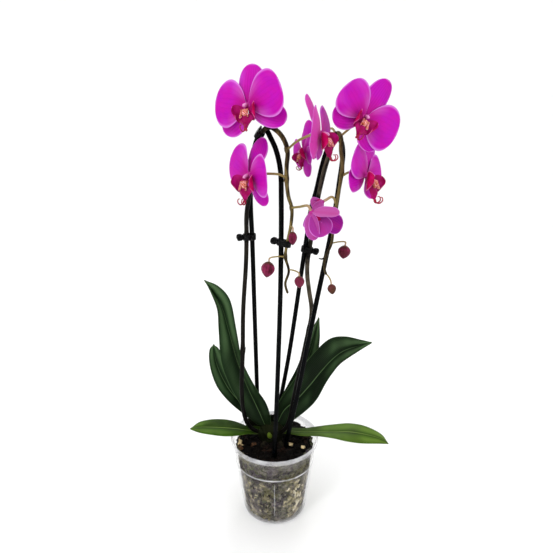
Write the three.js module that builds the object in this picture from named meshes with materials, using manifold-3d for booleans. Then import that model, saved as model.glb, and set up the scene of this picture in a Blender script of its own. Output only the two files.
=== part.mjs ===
// A moth orchid in a clear nursery pot: two flower spikes trained over two bent wire hoops.
// Millimetres, +Z up, origin at the middle of the pot's flat base, the front towards -Y.
import * as THREE from 'three';
import { mergeVertices } from 'three/addons/utils/BufferGeometryUtils.js';
import Module from 'manifold-3d';

const wasm = await Module();
wasm.setup();

// ---------------------------------------------------------------- driving dimensions
const POT_HEIGHT = 115;
const RIM_RADIUS = 60;
const RIM_HEIGHT = 6;
const NECK_RADIUS = 56.9; // outside of the wall, under the rim
const FOOT_RADIUS = 43.3; // where the wall's line meets the ground
const FOOT_ROUND = 9;
const WALL = 1.3;
const BEAD_HEIGHT = 81; // the moulded line round the wall
const POT_SEGMENTS = 32;

const SOIL_LEVEL = 103;
const HOOP_RADIUS = 2.6;
const STEM_RADIUS = 2.7;
const STEM_TIP_RADIUS = 1.1;
const PEDICEL_RADIUS = 1.25;
const LEAF_THICKNESS = 1.6;
const PETAL_THICKNESS = 0.8;
const GAP = 0.3; // clearance between pieces that touch

const colour = (hex) => new THREE.Color(hex);
const deg = (angle) => THREE.MathUtils.degToRad(angle);
const vec = (p) => new THREE.Vector3(p[0], p[1], p[2]);

const MATERIALS = {
  pot: { color: colour('#d9dcd8'), roughness: 0.25, transparent: true, opacity: 0.45 },
  bark: { color: colour('#2e2219'), roughness: 0.9 },
  crown: { color: colour('#4d5a2c'), roughness: 0.6 },
  leaf: { color: colour('#1f4a24'), roughness: 0.45 },
  youngLeaf: { color: colour('#4d8a2e'), roughness: 0.45 },
  stem: { color: colour('#4a3a30'), roughness: 0.55 },
  wire: { color: colour('#0b0d0e'), roughness: 0.35 },
  clip: { color: colour('#0a0a0c'), roughness: 0.25 },
  petal: { color: colour('#c818b4'), roughness: 0.5 },
  lip: { color: colour('#a80a4e'), roughness: 0.45 },
  bud: { color: colour('#97304f'), roughness: 0.55 },
};

// ---------------------------------------------------------------- repeatable random numbers
function randomSource(seed) {
  let state = seed;
  return (low, high) => {
    state = (state * 1664525 + 1013904223) % 4294967296;
    return low + (high - low) * (state / 4294967296);
  };
}

// ---------------------------------------------------------------- solids and meshes
function solidOf(geometry) {
  const bare = geometry.index ? geometry.clone() : geometry;
  bare.deleteAttribute('normal');
  bare.deleteAttribute('uv');
  const merged = mergeVertices(bare, 1e-4);
  return new wasm.Manifold(new wasm.Mesh({
    numProp: 3,
    vertProperties: new Float32Array(merged.attributes.position.array),
    triVerts: new Uint32Array(merged.index.array),
  }));
}

function geometryOf(solid) {
  const mesh = solid.getMesh();
  const geometry = new THREE.BufferGeometry();
  geometry.setAttribute('position', new THREE.BufferAttribute(new Float32Array(mesh.vertProperties), 3));
  geometry.setIndex(new THREE.BufferAttribute(new Uint32Array(mesh.triVerts), 1));
  geometry.computeVertexNormals();
  return geometry;
}

function largestPiece(solid) {
  const pieces = solid.decompose();
  return pieces.reduce((best, piece) => (piece.volume() > best.volume() ? piece : best));
}

function carve(solid, keepOuts) {
  const cut = keepOuts.reduce((left, keepOut) => left.subtract(keepOut), solid);
  return largestPiece(cut);
}

function join(solids) {
  return solids.reduce((sum, solid) => sum.add(solid));
}

function indexed(points, triangles) {
  const geometry = new THREE.BufferGeometry();
  geometry.setAttribute('position', new THREE.Float32BufferAttribute(points.flatMap((p) => [p.x, p.y, p.z]), 3));
  geometry.setIndex(triangles.flat());
  return geometry;
}

// A round bar along a smooth curve, with flat ends, closer set where the route's points are closer.
// radiusAt(u, centre) gives its radius, with u from 0 to 1.
function bar(route, radiusAt, sides, steps) {
  const curve = new THREE.CatmullRomCurve3(route.map(vec), false, 'centripetal');
  const points = [];
  let normal = new THREE.Vector3(0.31, -0.87, 0.38);
  for (let i = 0; i <= steps; i += 1) {
    const centre = curve.getPoint(i / steps);
    const tangent = curve.getTangent(i / steps);
    normal = normal.clone().addScaledVector(tangent, -normal.dot(tangent)).normalize();
    const binormal = tangent.clone().cross(normal);
    for (let k = 0; k < sides; k += 1) {
      const angle = (2 * Math.PI * k) / sides;
      const side = normal.clone().multiplyScalar(Math.cos(angle)).addScaledVector(binormal, Math.sin(angle));
      points.push(centre.clone().addScaledVector(side, radiusAt(i / steps, centre)));
    }
  }
  const triangles = [];
  for (let i = 0; i < steps; i += 1) {
    for (let k = 0; k < sides; k += 1) {
      const a = i * sides + k;
      const b = i * sides + ((k + 1) % sides);
      triangles.push([a, b, a + sides], [b, b + sides, a + sides]);
    }
  }
  const last = steps * sides;
  for (let k = 1; k < sides - 1; k += 1) {
    triangles.push([0, k + 1, k], [last, last + k, last + k + 1]);
  }
  return solidOf(indexed(points, triangles));
}

// A thin closed blade: surface(u, v) with u along it and v from -1 to 1 across, split alike on both faces.
function blade(surface, rows, columns, thickness) {
  const step = 1e-3;
  const front = [];
  const back = [];
  rows.forEach((u) => {
    columns.forEach((v) => {
      const centre = surface(u, v);
      const along = surface(Math.min(u + step, 1), v).sub(surface(Math.max(u - step, 0), v));
      const across = surface(u, Math.min(v + step, 1)).sub(surface(u, Math.max(v - step, -1)));
      const normal = across.cross(along).normalize();
      front.push(centre.clone().addScaledVector(normal, thickness / 2));
      back.push(centre.clone().addScaledVector(normal, -thickness / 2));
    });
  });
  const width = columns.length;
  const offset = front.length;
  const triangles = [];
  const face = (a, b, c) => triangles.push([a, b, c], [a + offset, c + offset, b + offset]);
  for (let i = 0; i < rows.length - 1; i += 1) {
    for (let k = 0; k < width - 1; k += 1) {
      const a = i * width + k;
      face(a, a + 1, a + width);
      face(a + 1, a + width + 1, a + width);
    }
  }
  const wall = (a, b) => triangles.push([a, a + offset, b], [b, a + offset, b + offset]);
  const top = (rows.length - 1) * width;
  for (let k = 0; k < width - 1; k += 1) {
    wall(k, k + 1);
    wall(top + k + 1, top + k);
  }
  for (let i = 0; i < rows.length - 1; i += 1) {
    wall((i + 1) * width, i * width);
    wall(i * width + width - 1, (i + 1) * width + width - 1);
  }
  return solidOf(indexed([...front, ...back], triangles));
}

// ---------------------------------------------------------------- placing
function spot(centre, yaw, pitch, roll, size) {
  const forward = new THREE.Vector3(
    Math.sin(deg(yaw)) * Math.cos(deg(pitch)),
    -Math.cos(deg(yaw)) * Math.cos(deg(pitch)),
    Math.sin(deg(pitch)),
  );
  const level = new THREE.Vector3(Math.cos(deg(yaw)), Math.sin(deg(yaw)), 0);
  const above = forward.clone().cross(level);
  const right = level.clone().multiplyScalar(Math.cos(deg(roll)));
  right.addScaledVector(above, -Math.sin(deg(roll)));
  const up = level.clone().multiplyScalar(Math.sin(deg(roll)));
  up.addScaledVector(above, Math.cos(deg(roll)));
  const place = new THREE.Matrix4().makeBasis(right, up, forward);
  place.scale(new THREE.Vector3(size, size, size));
  return place.setPosition(vec(centre));
}

function moved(solid, place) {
  return solid.transform(place.elements);
}

// ---------------------------------------------------------------- pot
function wallRadius(height) {
  return FOOT_RADIUS + ((NECK_RADIUS - FOOT_RADIUS) * height) / (POT_HEIGHT - RIM_HEIGHT);
}

function footArc(inset, steps) {
  const lean = Math.atan((NECK_RADIUS - FOOT_RADIUS) / (POT_HEIGHT - RIM_HEIGHT));
  const centre = FOOT_RADIUS - FOOT_ROUND / Math.cos(lean) + FOOT_ROUND * Math.tan(lean);
  const radius = FOOT_ROUND - inset;
  const points = [];
  for (let i = 0; i <= steps; i += 1) {
    const angle = -Math.PI / 2 + ((Math.PI / 2 - lean) * i) / steps;
    points.push([centre + radius * Math.cos(angle), FOOT_ROUND + radius * Math.sin(angle)]);
  }
  return points;
}

function potSolid() {
  const rimFoot = POT_HEIGHT - RIM_HEIGHT;
  const beadSize = 0.8;
  const outside = [
    [0, 0],
    ...footArc(0, 4),
    [wallRadius(BEAD_HEIGHT - 1.2), BEAD_HEIGHT - 1.2],
    [wallRadius(BEAD_HEIGHT) + beadSize, BEAD_HEIGHT - 0.4],
    [wallRadius(BEAD_HEIGHT) + beadSize, BEAD_HEIGHT + 0.4],
    [wallRadius(BEAD_HEIGHT + 1.2), BEAD_HEIGHT + 1.2],
    [NECK_RADIUS, rimFoot - 0.8],
    [RIM_RADIUS - 0.8, rimFoot],
    [RIM_RADIUS, POT_HEIGHT - 0.8],
    [RIM_RADIUS - 0.8, POT_HEIGHT],
  ];
  const inside = [
    [RIM_RADIUS - 2.2, POT_HEIGHT - 0.4],
    [NECK_RADIUS - WALL + 0.8, rimFoot],
    ...footArc(WALL, 3).reverse(),
    [0, WALL],
  ];
  const profile = [...outside, ...inside].map((p) => new THREE.Vector2(p[0], p[1]));
  const lathe = new THREE.LatheGeometry(profile, POT_SEGMENTS);
  lathe.rotateX(Math.PI / 2);
  return solidOf(lathe);
}

function potRib(angle) {
  const width = 1.6;
  const proud = 0.7;
  const low = 14;
  const high = BEAD_HEIGHT - 3;
  const lean = Math.atan2(wallRadius(high) - wallRadius(low), high - low);
  const rib = new THREE.BoxGeometry(2 * proud, width, high - low);
  rib.rotateY(lean);
  rib.translate((wallRadius(high) + wallRadius(low)) / 2, 0, (high + low) / 2);
  rib.rotateZ(angle);
  return solidOf(rib);
}

function drainHole(angle, distance) {
  const hole = new THREE.CylinderGeometry(3.2, 3.2, 4 * WALL, 6);
  hole.rotateX(Math.PI / 2);
  hole.translate(distance * Math.cos(angle), distance * Math.sin(angle), WALL / 2);
  return solidOf(hole);
}

function makePot() {
  const ribCount = 6;
  const holeCount = 6;
  let pot = potSolid();
  for (let i = 0; i < ribCount; i += 1) {
    pot = pot.add(potRib((2 * Math.PI * (i + 0.5)) / ribCount));
  }
  for (let i = 0; i < holeCount; i += 1) {
    pot = pot.subtract(drainHole((2 * Math.PI * i) / holeCount, 24));
  }
  return pot;
}

// ---------------------------------------------------------------- bark mix
function barkHeight(x, y) {
  const middle = 5 * Math.exp(-((x + 2) ** 2 + (y - 6) ** 2) / 900);
  const heap = 6 * Math.exp(-((x - 36) ** 2 + (y - 26) ** 2) / 350);
  return SOIL_LEVEL - 3 + middle + heap + 1.4 * Math.sin(x * 0.31 + 1) * Math.cos(y * 0.27);
}

function barkSide(angle, height) {
  const relief = 0.45 * Math.sin(angle * 9 + height * 0.21) + 0.35 * Math.cos(angle * 14 - height * 0.33);
  return wallRadius(height) - WALL - 1.7 + relief;
}

function barkBody() {
  const segments = 28;
  const sideLevels = [2, 6, 13, 34, 55, 76, 95];
  const topRings = [0.8, 0.42];
  const points = [];
  const ring = (radiusAt, levelAt) => {
    for (let k = 0; k < segments; k += 1) {
      const angle = (2 * Math.PI * k) / segments;
      const radius = radiusAt(angle);
      const x = radius * Math.cos(angle);
      const y = radius * Math.sin(angle);
      points.push(new THREE.Vector3(x, y, levelAt(x, y)));
    }
  };
  ring(() => 33, () => WALL + GAP);
  sideLevels.slice(1).forEach((level) => {
    const corner = level < FOOT_ROUND ? 4.2 : 0;
    ring((angle) => barkSide(angle, level) - corner, () => level);
  });
  topRings.forEach((share) => ring((angle) => share * barkSide(angle, SOIL_LEVEL), barkHeight));
  const rings = points.length / segments;
  points.push(new THREE.Vector3(0, 0, WALL + GAP), new THREE.Vector3(0, 0, barkHeight(0, 0)));
  const triangles = [];
  for (let k = 0; k < segments; k += 1) {
    const next = (k + 1) % segments;
    for (let i = 0; i < rings - 1; i += 1) {
      const a = i * segments;
      triangles.push([a + k, a + next, a + segments + k]);
      triangles.push([a + next, a + segments + next, a + segments + k]);
    }
    const top = (rings - 1) * segments;
    triangles.push([points.length - 2, next, k], [points.length - 1, top + k, top + next]);
  }
  return solidOf(indexed(points, triangles));
}

function barkChip(random, radius, angle) {
  const length = random(9, 17);
  const chip = new THREE.BoxGeometry(length, random(6, 10), random(4, 7), 1, 1, 1);
  chip.rotateX(random(-0.5, 0.5));
  chip.rotateY(random(-0.45, 0.45));
  chip.rotateZ(random(0, Math.PI));
  const x = radius * Math.cos(angle);
  const y = radius * Math.sin(angle);
  chip.translate(x, y, barkHeight(x, y) + random(-0.5, 1.6));
  return solidOf(chip);
}

function makeBark() {
  const random = randomSource(7);
  const chipRings = [[44, 11], [30, 7]];
  let bark = barkBody();
  chipRings.forEach(([radius, count]) => {
    for (let i = 0; i < count; i += 1) {
      const angle = (2 * Math.PI * (i + random(-0.2, 0.2))) / count;
      bark = bark.add(barkChip(random, radius + random(-2, 1.5), angle));
    }
  });
  const shell = new THREE.LatheGeometry([
    new THREE.Vector2(0, WALL + GAP),
    new THREE.Vector2(34, WALL + GAP),
    new THREE.Vector2(wallRadius(FOOT_ROUND) - WALL - 1, FOOT_ROUND + 1),
    new THREE.Vector2(NECK_RADIUS - WALL - 0.6, POT_HEIGHT - RIM_HEIGHT),
    new THREE.Vector2(NECK_RADIUS - WALL - 0.6, POT_HEIGHT + 10),
    new THREE.Vector2(0, POT_HEIGHT + 10),
  ], POT_SEGMENTS);
  shell.rotateX(Math.PI / 2);
  return bark.intersect(solidOf(shell));
}

// ---------------------------------------------------------------- wire hoops
const HOOPS = {
  left: [
    [-20, 28, 32], [-24, 38, 100], [-25, 37, 163], [-27, 30, 301], [-28, 22, 385], [-29, 15, 436],
    [-26, 8, 484], [-20, 3, 507], [-15, -2, 516], [-9, -7, 518], [-4, -11, 510], [2, -15, 497],
    [7, -19, 475], [8, -24, 442], [8, -28, 396], [7, -31, 323], [3, -33, 189], [0, -33, 103], [0, -29, 32],
  ],
  right: [
    [-3, 28, 32], [-1, 34, 99], [8, 34, 148], [19, 32, 215], [28, 29, 284], [34, 26, 334], [41, 22, 391],
    [45, 19, 423], [51, 16, 448], [57, 12, 478], [62, 9, 496], [67, 5, 506], [72, 0, 511], [76, -6, 506],
    [78, -10, 494], [77, -13, 479], [75, -15, 464], [72, -16, 438], [67, -17, 403], [61, -18, 369],
    [53, -18, 324], [42, -17, 259], [29, -16, 181], [20, -15, 134], [15, -13, 103], [14, -11, 32],
  ],
};

function makeHoop(route, grow) {
  return bar(route, () => HOOP_RADIUS + grow, 7, 40);
}

// ---------------------------------------------------------------- flower spikes
const SPIKES = {
  left: {
    route: [
      [-21, 1, 118], [-31, -2, 126], [-38, -6, 140], [-42, -10, 163], [-43, -11, 192], [-41, -5, 245], [-40, 4, 296], [-36, 16, 357],
      [-35, 20, 390], [-34, 12, 418], [-29, 3, 450], [-25, -3, 485], [-20, -7, 507], [-12, -12, 518],
      [-5, -16, 522], [5, -18, 516], [12, -19, 506], [15, -20, 495], [14, -22, 480], [14, -25, 464],
      [16, -28, 447], [20, -30, 433], [19, -31, 414], [15, -30, 393], [13, -31, 377], [17, -33, 360],
      [13, -35, 345], [16, -36, 333],
    ],
    nodes: [[-41, -5, 245], [-35, 20, 390], [13, -31, 377], [14, -24, 466]],
    steps: 62,
  },
  right: {
    route: [
      [10, 0, 119], [15, -3, 127], [20, -5, 142], [24, -6, 166], [29, -7, 196], [40, -8, 256], [47, -4, 297], [44, 6, 322], [42, 14, 338],
      [42, 20, 354], [44, 22, 371], [48, 19, 398], [51, 15, 426], [55, 11, 451], [60, 6, 476],
      [65, 2, 495], [68, -3, 508], [72, -8, 515], [75, -12, 510], [75, -16, 497], [77, -19, 481],
      [76, -21, 468], [72, -22, 441], [69, -22, 416], [67, -23, 391], [60, -24, 373], [60, -24, 359],
      [62, -25, 353],
    ],
    nodes: [[46, -6, 275], [44, 22, 371], [75, -20, 472], [60, -24, 373]],
    steps: 60,
  },
};

function stemRadius(u, centre, nodes) {
  const plain = STEM_RADIUS + (STEM_TIP_RADIUS - STEM_RADIUS) * THREE.MathUtils.smoothstep(u, 0.4, 1);
  const swell = nodes.reduce((sum, node) => sum + Math.exp(-((centre.distanceTo(vec(node)) / 4) ** 2)), 0);
  return plain + 0.8 * swell;
}

function makeStem(spike, grow) {
  return bar(spike.route, (u, centre) => stemRadius(u, centre, spike.nodes) + grow, 6, spike.steps);
}

function pedicel(route, grow) {
  return bar(route, (u) => PEDICEL_RADIUS + 0.35 * u + grow, 5, 5);
}

// ---------------------------------------------------------------- blooms
// Seen from the front, phi turns clockwise from straight up; sweep leans a tepal forward.
const SEPAL_FORM = { flare: 0.6, round: 0.5, curl: -12, cup: 0.22, layer: -1, twist: 0 };
const PETAL_FORM = { flare: 0.75, round: 0.48, curl: -10, cup: 0.12, layer: 1.4, twist: 0 };
const HUB_RADIUS = 4.2;

const BLOOMS = [
  {
    centre: [-27, -42, 543], yaw: -24, pitch: 8, roll: -10, size: 1, lip: 0.95, fold: 0,
    dorsal: { phi: 11, reach: 41, width: 31, sweep: 3 },
    sepals: [{ phi: 117, reach: 43, width: 27, sweep: 2 }, { phi: -115, reach: 43, width: 31, sweep: -10 }],
    petals: [{ phi: 75, reach: 44, width: 49, sweep: 18 }, { phi: -73, reach: 39, width: 50, sweep: 1 }],
  },
  {
    centre: [95, -42, 532], yaw: 20, pitch: 3, roll: 35, size: 0.93, lip: 1, fold: 0,
    dorsal: { phi: 1, reach: 47, width: 29, sweep: 12 },
    sepals: [{ phi: 126, reach: 38, width: 30, sweep: 9 }, { phi: -121, reach: 36, width: 30, sweep: -1 }],
    petals: [{ phi: 81, reach: 42, width: 54, sweep: 13 }, { phi: -72, reach: 41, width: 48, sweep: 11 }],
  },
  {
    centre: [-27, -36, 471], yaw: -38, pitch: -3, roll: -4, size: 0.93, lip: 1.1, fold: 0,
    dorsal: { phi: 8, reach: 46, width: 26, sweep: -24 },
    sepals: [{ phi: 164, reach: 39, width: 23, sweep: -8 }, { phi: -112, reach: 36, width: 28, sweep: -15 }],
    petals: [{ phi: 91, reach: 34, width: 50, sweep: 20 }, { phi: -61, reach: 42, width: 52, sweep: -11 }],
  },
  {
    centre: [103, -26, 470], yaw: 53, pitch: 5, roll: 14, size: 0.93, lip: 1.15, fold: 0,
    dorsal: { phi: 18, reach: 41, width: 28, sweep: 6 },
    sepals: [{ phi: 128, reach: 32, width: 28, sweep: 10 }, { phi: -112, reach: 37, width: 30, sweep: 4 }],
    petals: [{ phi: 80, reach: 35, width: 50, sweep: 6 }, { phi: -62, reach: 43, width: 43, sweep: 8 }],
  },
  {
    centre: [48, -52, 515], yaw: 58, pitch: 4, roll: 2, size: 0.95, lip: 1, fold: 0,
    dorsal: { phi: 8, reach: 46, width: 20, sweep: -16 },
    sepals: [{ phi: 120, reach: 41, width: 33, sweep: -15 }, { phi: -119, reach: 45, width: 23, sweep: 20 }],
    petals: [{ phi: 71, reach: 36, width: 50, sweep: -6 }, { phi: -74, reach: 35, width: 47, sweep: 18 }],
  },
  {
    centre: [36, 32, 493], yaw: -61, pitch: -3, roll: -26, size: 0.78, lip: 1, fold: 0,
    dorsal: { phi: 17, reach: 46, width: 34, sweep: -10 },
    sepals: [{ phi: 130, reach: 34, width: 27, sweep: 20 }, { phi: -140, reach: 42, width: 29, sweep: -7 }],
    petals: [{ phi: 92, reach: 35, width: 40, sweep: -8 }, { phi: -77, reach: 36, width: 46, sweep: -2 }],
  },
  {
    centre: [40.5, -58, 434], yaw: 115, pitch: -60, roll: -28, size: 0.76, lip: 0.8, fold: 50,
    dorsal: { phi: -26, reach: 40, width: 28, sweep: 26 },
    sepals: [{ phi: 122, reach: 38, width: 28, sweep: 60 }, { phi: -120, reach: 40, width: 26, sweep: 62 }],
    petals: [{ phi: 3, reach: 50, width: 36, sweep: 63, twist: -60 }, { phi: -75, reach: 38, width: 34, sweep: 55 }],
  },
  {
    centre: [55.5, -28, 441], yaw: -100, pitch: -30, roll: -12, size: 0.44, lip: 0.8, fold: 62,
    dorsal: { phi: 4, reach: 31, width: 26, sweep: 66 },
    sepals: [{ phi: 120, reach: 38, width: 26, sweep: 68 }, { phi: -112, reach: 38, width: 28, sweep: 66 }],
    petals: [{ phi: 76, reach: 32, width: 38, sweep: 66 }, { phi: -75, reach: 34, width: 38, sweep: 62 }],
  },
];

function halfWidth(t, tepal) {
  const peak = tepal.flare / (tepal.flare + tepal.round);
  const top = peak ** tepal.flare * (1 - peak) ** tepal.round;
  const share = (t ** tepal.flare * (1 - t) ** tepal.round) / top;
  return (Math.max(share, 0.12) * tepal.width) / 2;
}

// A tepal runs out from the hub along its slope; its width lies across it, turned by its twist.
function tepalSurface(tepal) {
  const phi = deg(tepal.phi);
  return (u, v) => {
    const t = 0.99 * u;
    const slope = deg(tepal.sweep + (tepal.curl * t) / 2);
    const turn = deg(tepal.twist * t);
    const half = halfWidth(t, tepal) * v;
    const across = half * Math.cos(turn);
    const bend = (tepal.cup * half * half) / (tepal.width / 2) - half * Math.sin(turn);
    const out = 2 + tepal.reach * t * Math.cos(slope) + bend * Math.sin(slope);
    const lift = tepal.layer + tepal.reach * t * Math.sin(slope) - bend * Math.cos(slope);
    return new THREE.Vector3(
      out * Math.sin(phi) + across * Math.cos(phi),
      out * Math.cos(phi) - across * Math.sin(phi),
      lift,
    );
  };
}

function columnSolid(grow) {
  const column = bar([[0, 0, 0], [0, 0.6, 6], [0, -0.8, 12.5]], (u) => 2.6 + 0.8 * u * u + grow, 6, 2);
  const hub = new THREE.SphereGeometry(HUB_RADIUS + grow, 6, 4);
  hub.scale(1, 1, 0.85);
  return column.add(solidOf(hub));
}

function placeOf(bloom) {
  return spot(bloom.centre, bloom.yaw, bloom.pitch, bloom.roll, bloom.size);
}

function makeBloom(bloom, grow) {
  const small = bloom.size < 0.6;
  const rows = small ? [0, 0.4, 0.8, 1] : [0, 0.2, 0.5, 0.82, 1];
  const columns = small ? [-1, 0, 1] : [-1, -0.5, 0.5, 1];
  const thickness = (PETAL_THICKNESS + 2 * grow) / bloom.size;
  const tepals = [
    { ...SEPAL_FORM, ...bloom.dorsal },
    ...bloom.sepals.map((sepal) => ({ ...SEPAL_FORM, ...sepal })),
    ...bloom.petals.map((petal) => ({ ...PETAL_FORM, ...petal })),
  ].map((tepal) => blade(tepalSurface(tepal), rows, columns, thickness));
  return moved(join([...tepals, columnSolid(grow / bloom.size)]), placeOf(bloom));
}

// The middle lobe has a narrow claw, broad shoulders and a tapering tip.
function midLobe(u, v) {
  const route = [[0, -2, 3], [0, -10, 9], [0, -18, 13.5], [0, -26, 12.5]];
  const spine = new THREE.CatmullRomCurve3(route.map(vec));
  const shoulder = THREE.MathUtils.smoothstep(u, 0.25, 0.62);
  const taper = THREE.MathUtils.smoothstep(u, 0.66, 1.02);
  const centre = spine.getPoint(u);
  return new THREE.Vector3(
    (2.6 + 8.2 * shoulder - 9.4 * taper) * v,
    centre.y + 2 * v * v * shoulder,
    centre.z - 4.2 * v * v * shoulder,
  );
}

// A side lobe stands out from the claw and curves forward round the column.
function sideLobe(side) {
  return (u, v) => {
    const turn = deg(104 * u);
    const half = 2.6 + 7.2 * Math.sin(Math.PI * (0.06 + 0.88 * u)) ** 0.62;
    const reach = 2.2 + 10.8 * Math.sin(turn) + 1.1 * v * u;
    const forward = 4.5 + 9.6 * (1 - Math.cos(turn)) - 1.4 * v * v * u + 0.8 * v * u;
    return new THREE.Vector3(side * reach, -9 + 2.6 * u + half * v, forward);
  };
}

function tendril(side) {
  const route = [
    [side * 0.8, -25, 12.4], [side * 1.6, -28, 13.4], [side * 2.2, -28.8, 17], [side * 2.7, -26, 20],
    [side * 2.9, -22.8, 19],
  ];
  return bar(route, (u) => 0.85 - 0.35 * u, 3, 5);
}

function callus() {
  const bump = new THREE.OctahedronGeometry(2.8, 0);
  bump.scale(1.2, 1, 0.9);
  bump.translate(0, -8, 9.6);
  return solidOf(bump);
}

function makeLip(bloom) {
  const scale = bloom.size * bloom.lip;
  const thickness = PETAL_THICKNESS / scale;
  const lobeRows = [0, 0.35, 0.7, 1];
  const lobeColumns = [-1, 0, 1];
  const lobes = [
    blade(midLobe, [0, 0.3, 0.6, 0.85, 1], lobeColumns, thickness),
    blade(sideLobe(1), lobeRows, lobeColumns, thickness),
    blade(sideLobe(-1), lobeRows, lobeColumns, thickness),
  ];
  const whole = join([...lobes, tendril(1), tendril(-1), callus()]);
  const folded = moved(whole, new THREE.Matrix4().makeRotationX(-deg(bloom.fold)));
  const placed = moved(folded, spot(bloom.centre, bloom.yaw, bloom.pitch, bloom.roll, scale));
  return carve(placed, [makeBloom(bloom, GAP)]);
}

// A pedicel leaves its stem, and meets the back of its bloom's hub.
function bloomSeat(bloom) {
  const place = placeOf(bloom);
  const back = 0.85 * HUB_RADIUS + GAP / bloom.size;
  const seat = new THREE.Vector3(0, 0, -back).applyMatrix4(place);
  const before = new THREE.Vector3(0, 0, -back - 7).applyMatrix4(place);
  return [before.toArray(), seat.toArray()];
}

const BLOOM_STALKS = [
  { spike: 'left', route: [[-5, -16, 522], [-10, -24, 530]] },
  { spike: 'right', route: [[75, -10, 512], [83, -18, 520]] },
  { spike: 'left', route: [[14, -24, 467], [4, -34, 472]] },
  { spike: 'right', route: [[76, -21, 468], [84, -24, 473]] },
  { spike: 'left', route: [[15, -20, 498], [26, -38, 508]] },
  { spike: 'right', route: [[70, -6, 514], [66, 4, 520], [58, 20, 512]] },
  { spike: 'left', route: [[19, -30, 434], [30, -36, 433]] },
  { spike: 'right', route: [[70, -22, 438], [66, -26, 446], [60, -29, 448]] },
];

// ---------------------------------------------------------------- buds
const BUDS = [
  { top: [21, -40, 409], foot: [21, -41, 393], width: 10, spike: 'left', from: [18, -31, 413] },
  { top: [-6, -37, 373], foot: [-9, -39, 354], width: 16, spike: 'left', from: [13, -31, 377] },
  { top: [29, -36, 355], foot: [30, -36, 340], width: 12, spike: 'left', from: [16, -33, 362] },
  { top: [83, -24, 389], foot: [81, -26, 373], width: 15, spike: 'right', from: [67, -23, 391] },
  { top: [68, -26, 342], foot: [70, -27, 329], width: 10.5, spike: 'right', from: [62, -25, 354] },
];

function makeBud(bud) {
  const axis = vec(bud.foot).sub(vec(bud.top));
  const length = axis.length();
  const profile = [];
  const steps = 7;
  for (let i = 0; i <= steps; i += 1) {
    const u = i / steps;
    const swell = Math.sin(Math.PI * u ** 0.85) ** 0.75;
    profile.push(new THREE.Vector2(i === 0 || i === steps ? 0 : (bud.width / 2) * swell, -length * u));
  }
  const egg = new THREE.LatheGeometry(profile.reverse(), 8);
  const turn = new THREE.Quaternion().setFromUnitVectors(new THREE.Vector3(0, -1, 0), axis.normalize());
  egg.applyQuaternion(turn);
  egg.translate(...bud.top);
  return solidOf(egg);
}

function budStalk(bud) {
  const axis = vec(bud.foot).sub(vec(bud.top)).normalize();
  const seat = vec(bud.top).addScaledVector(axis, -GAP);
  const before = seat.clone().addScaledVector(axis, -3.5);
  const half = vec(bud.from).lerp(before, 0.55).add(new THREE.Vector3(0, 0, 1.2));
  return [bud.from, half.toArray(), before.toArray(), seat.toArray()];
}

function makeSpike(side) {
  const stalks = BLOOM_STALKS.map((stalk, i) => ({ ...stalk, bloom: BLOOMS[i] }))
    .filter((stalk) => stalk.spike === side)
    .map((stalk) => pedicel([...stalk.route, ...bloomSeat(stalk.bloom)], 0));
  const budStalks = BUDS.filter((bud) => bud.spike === side)
    .map((bud) => bar(budStalk(bud), () => 0.9, 5, 5));
  return join([makeStem(SPIKES[side], 0), ...stalks, ...budStalks]);
}

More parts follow.
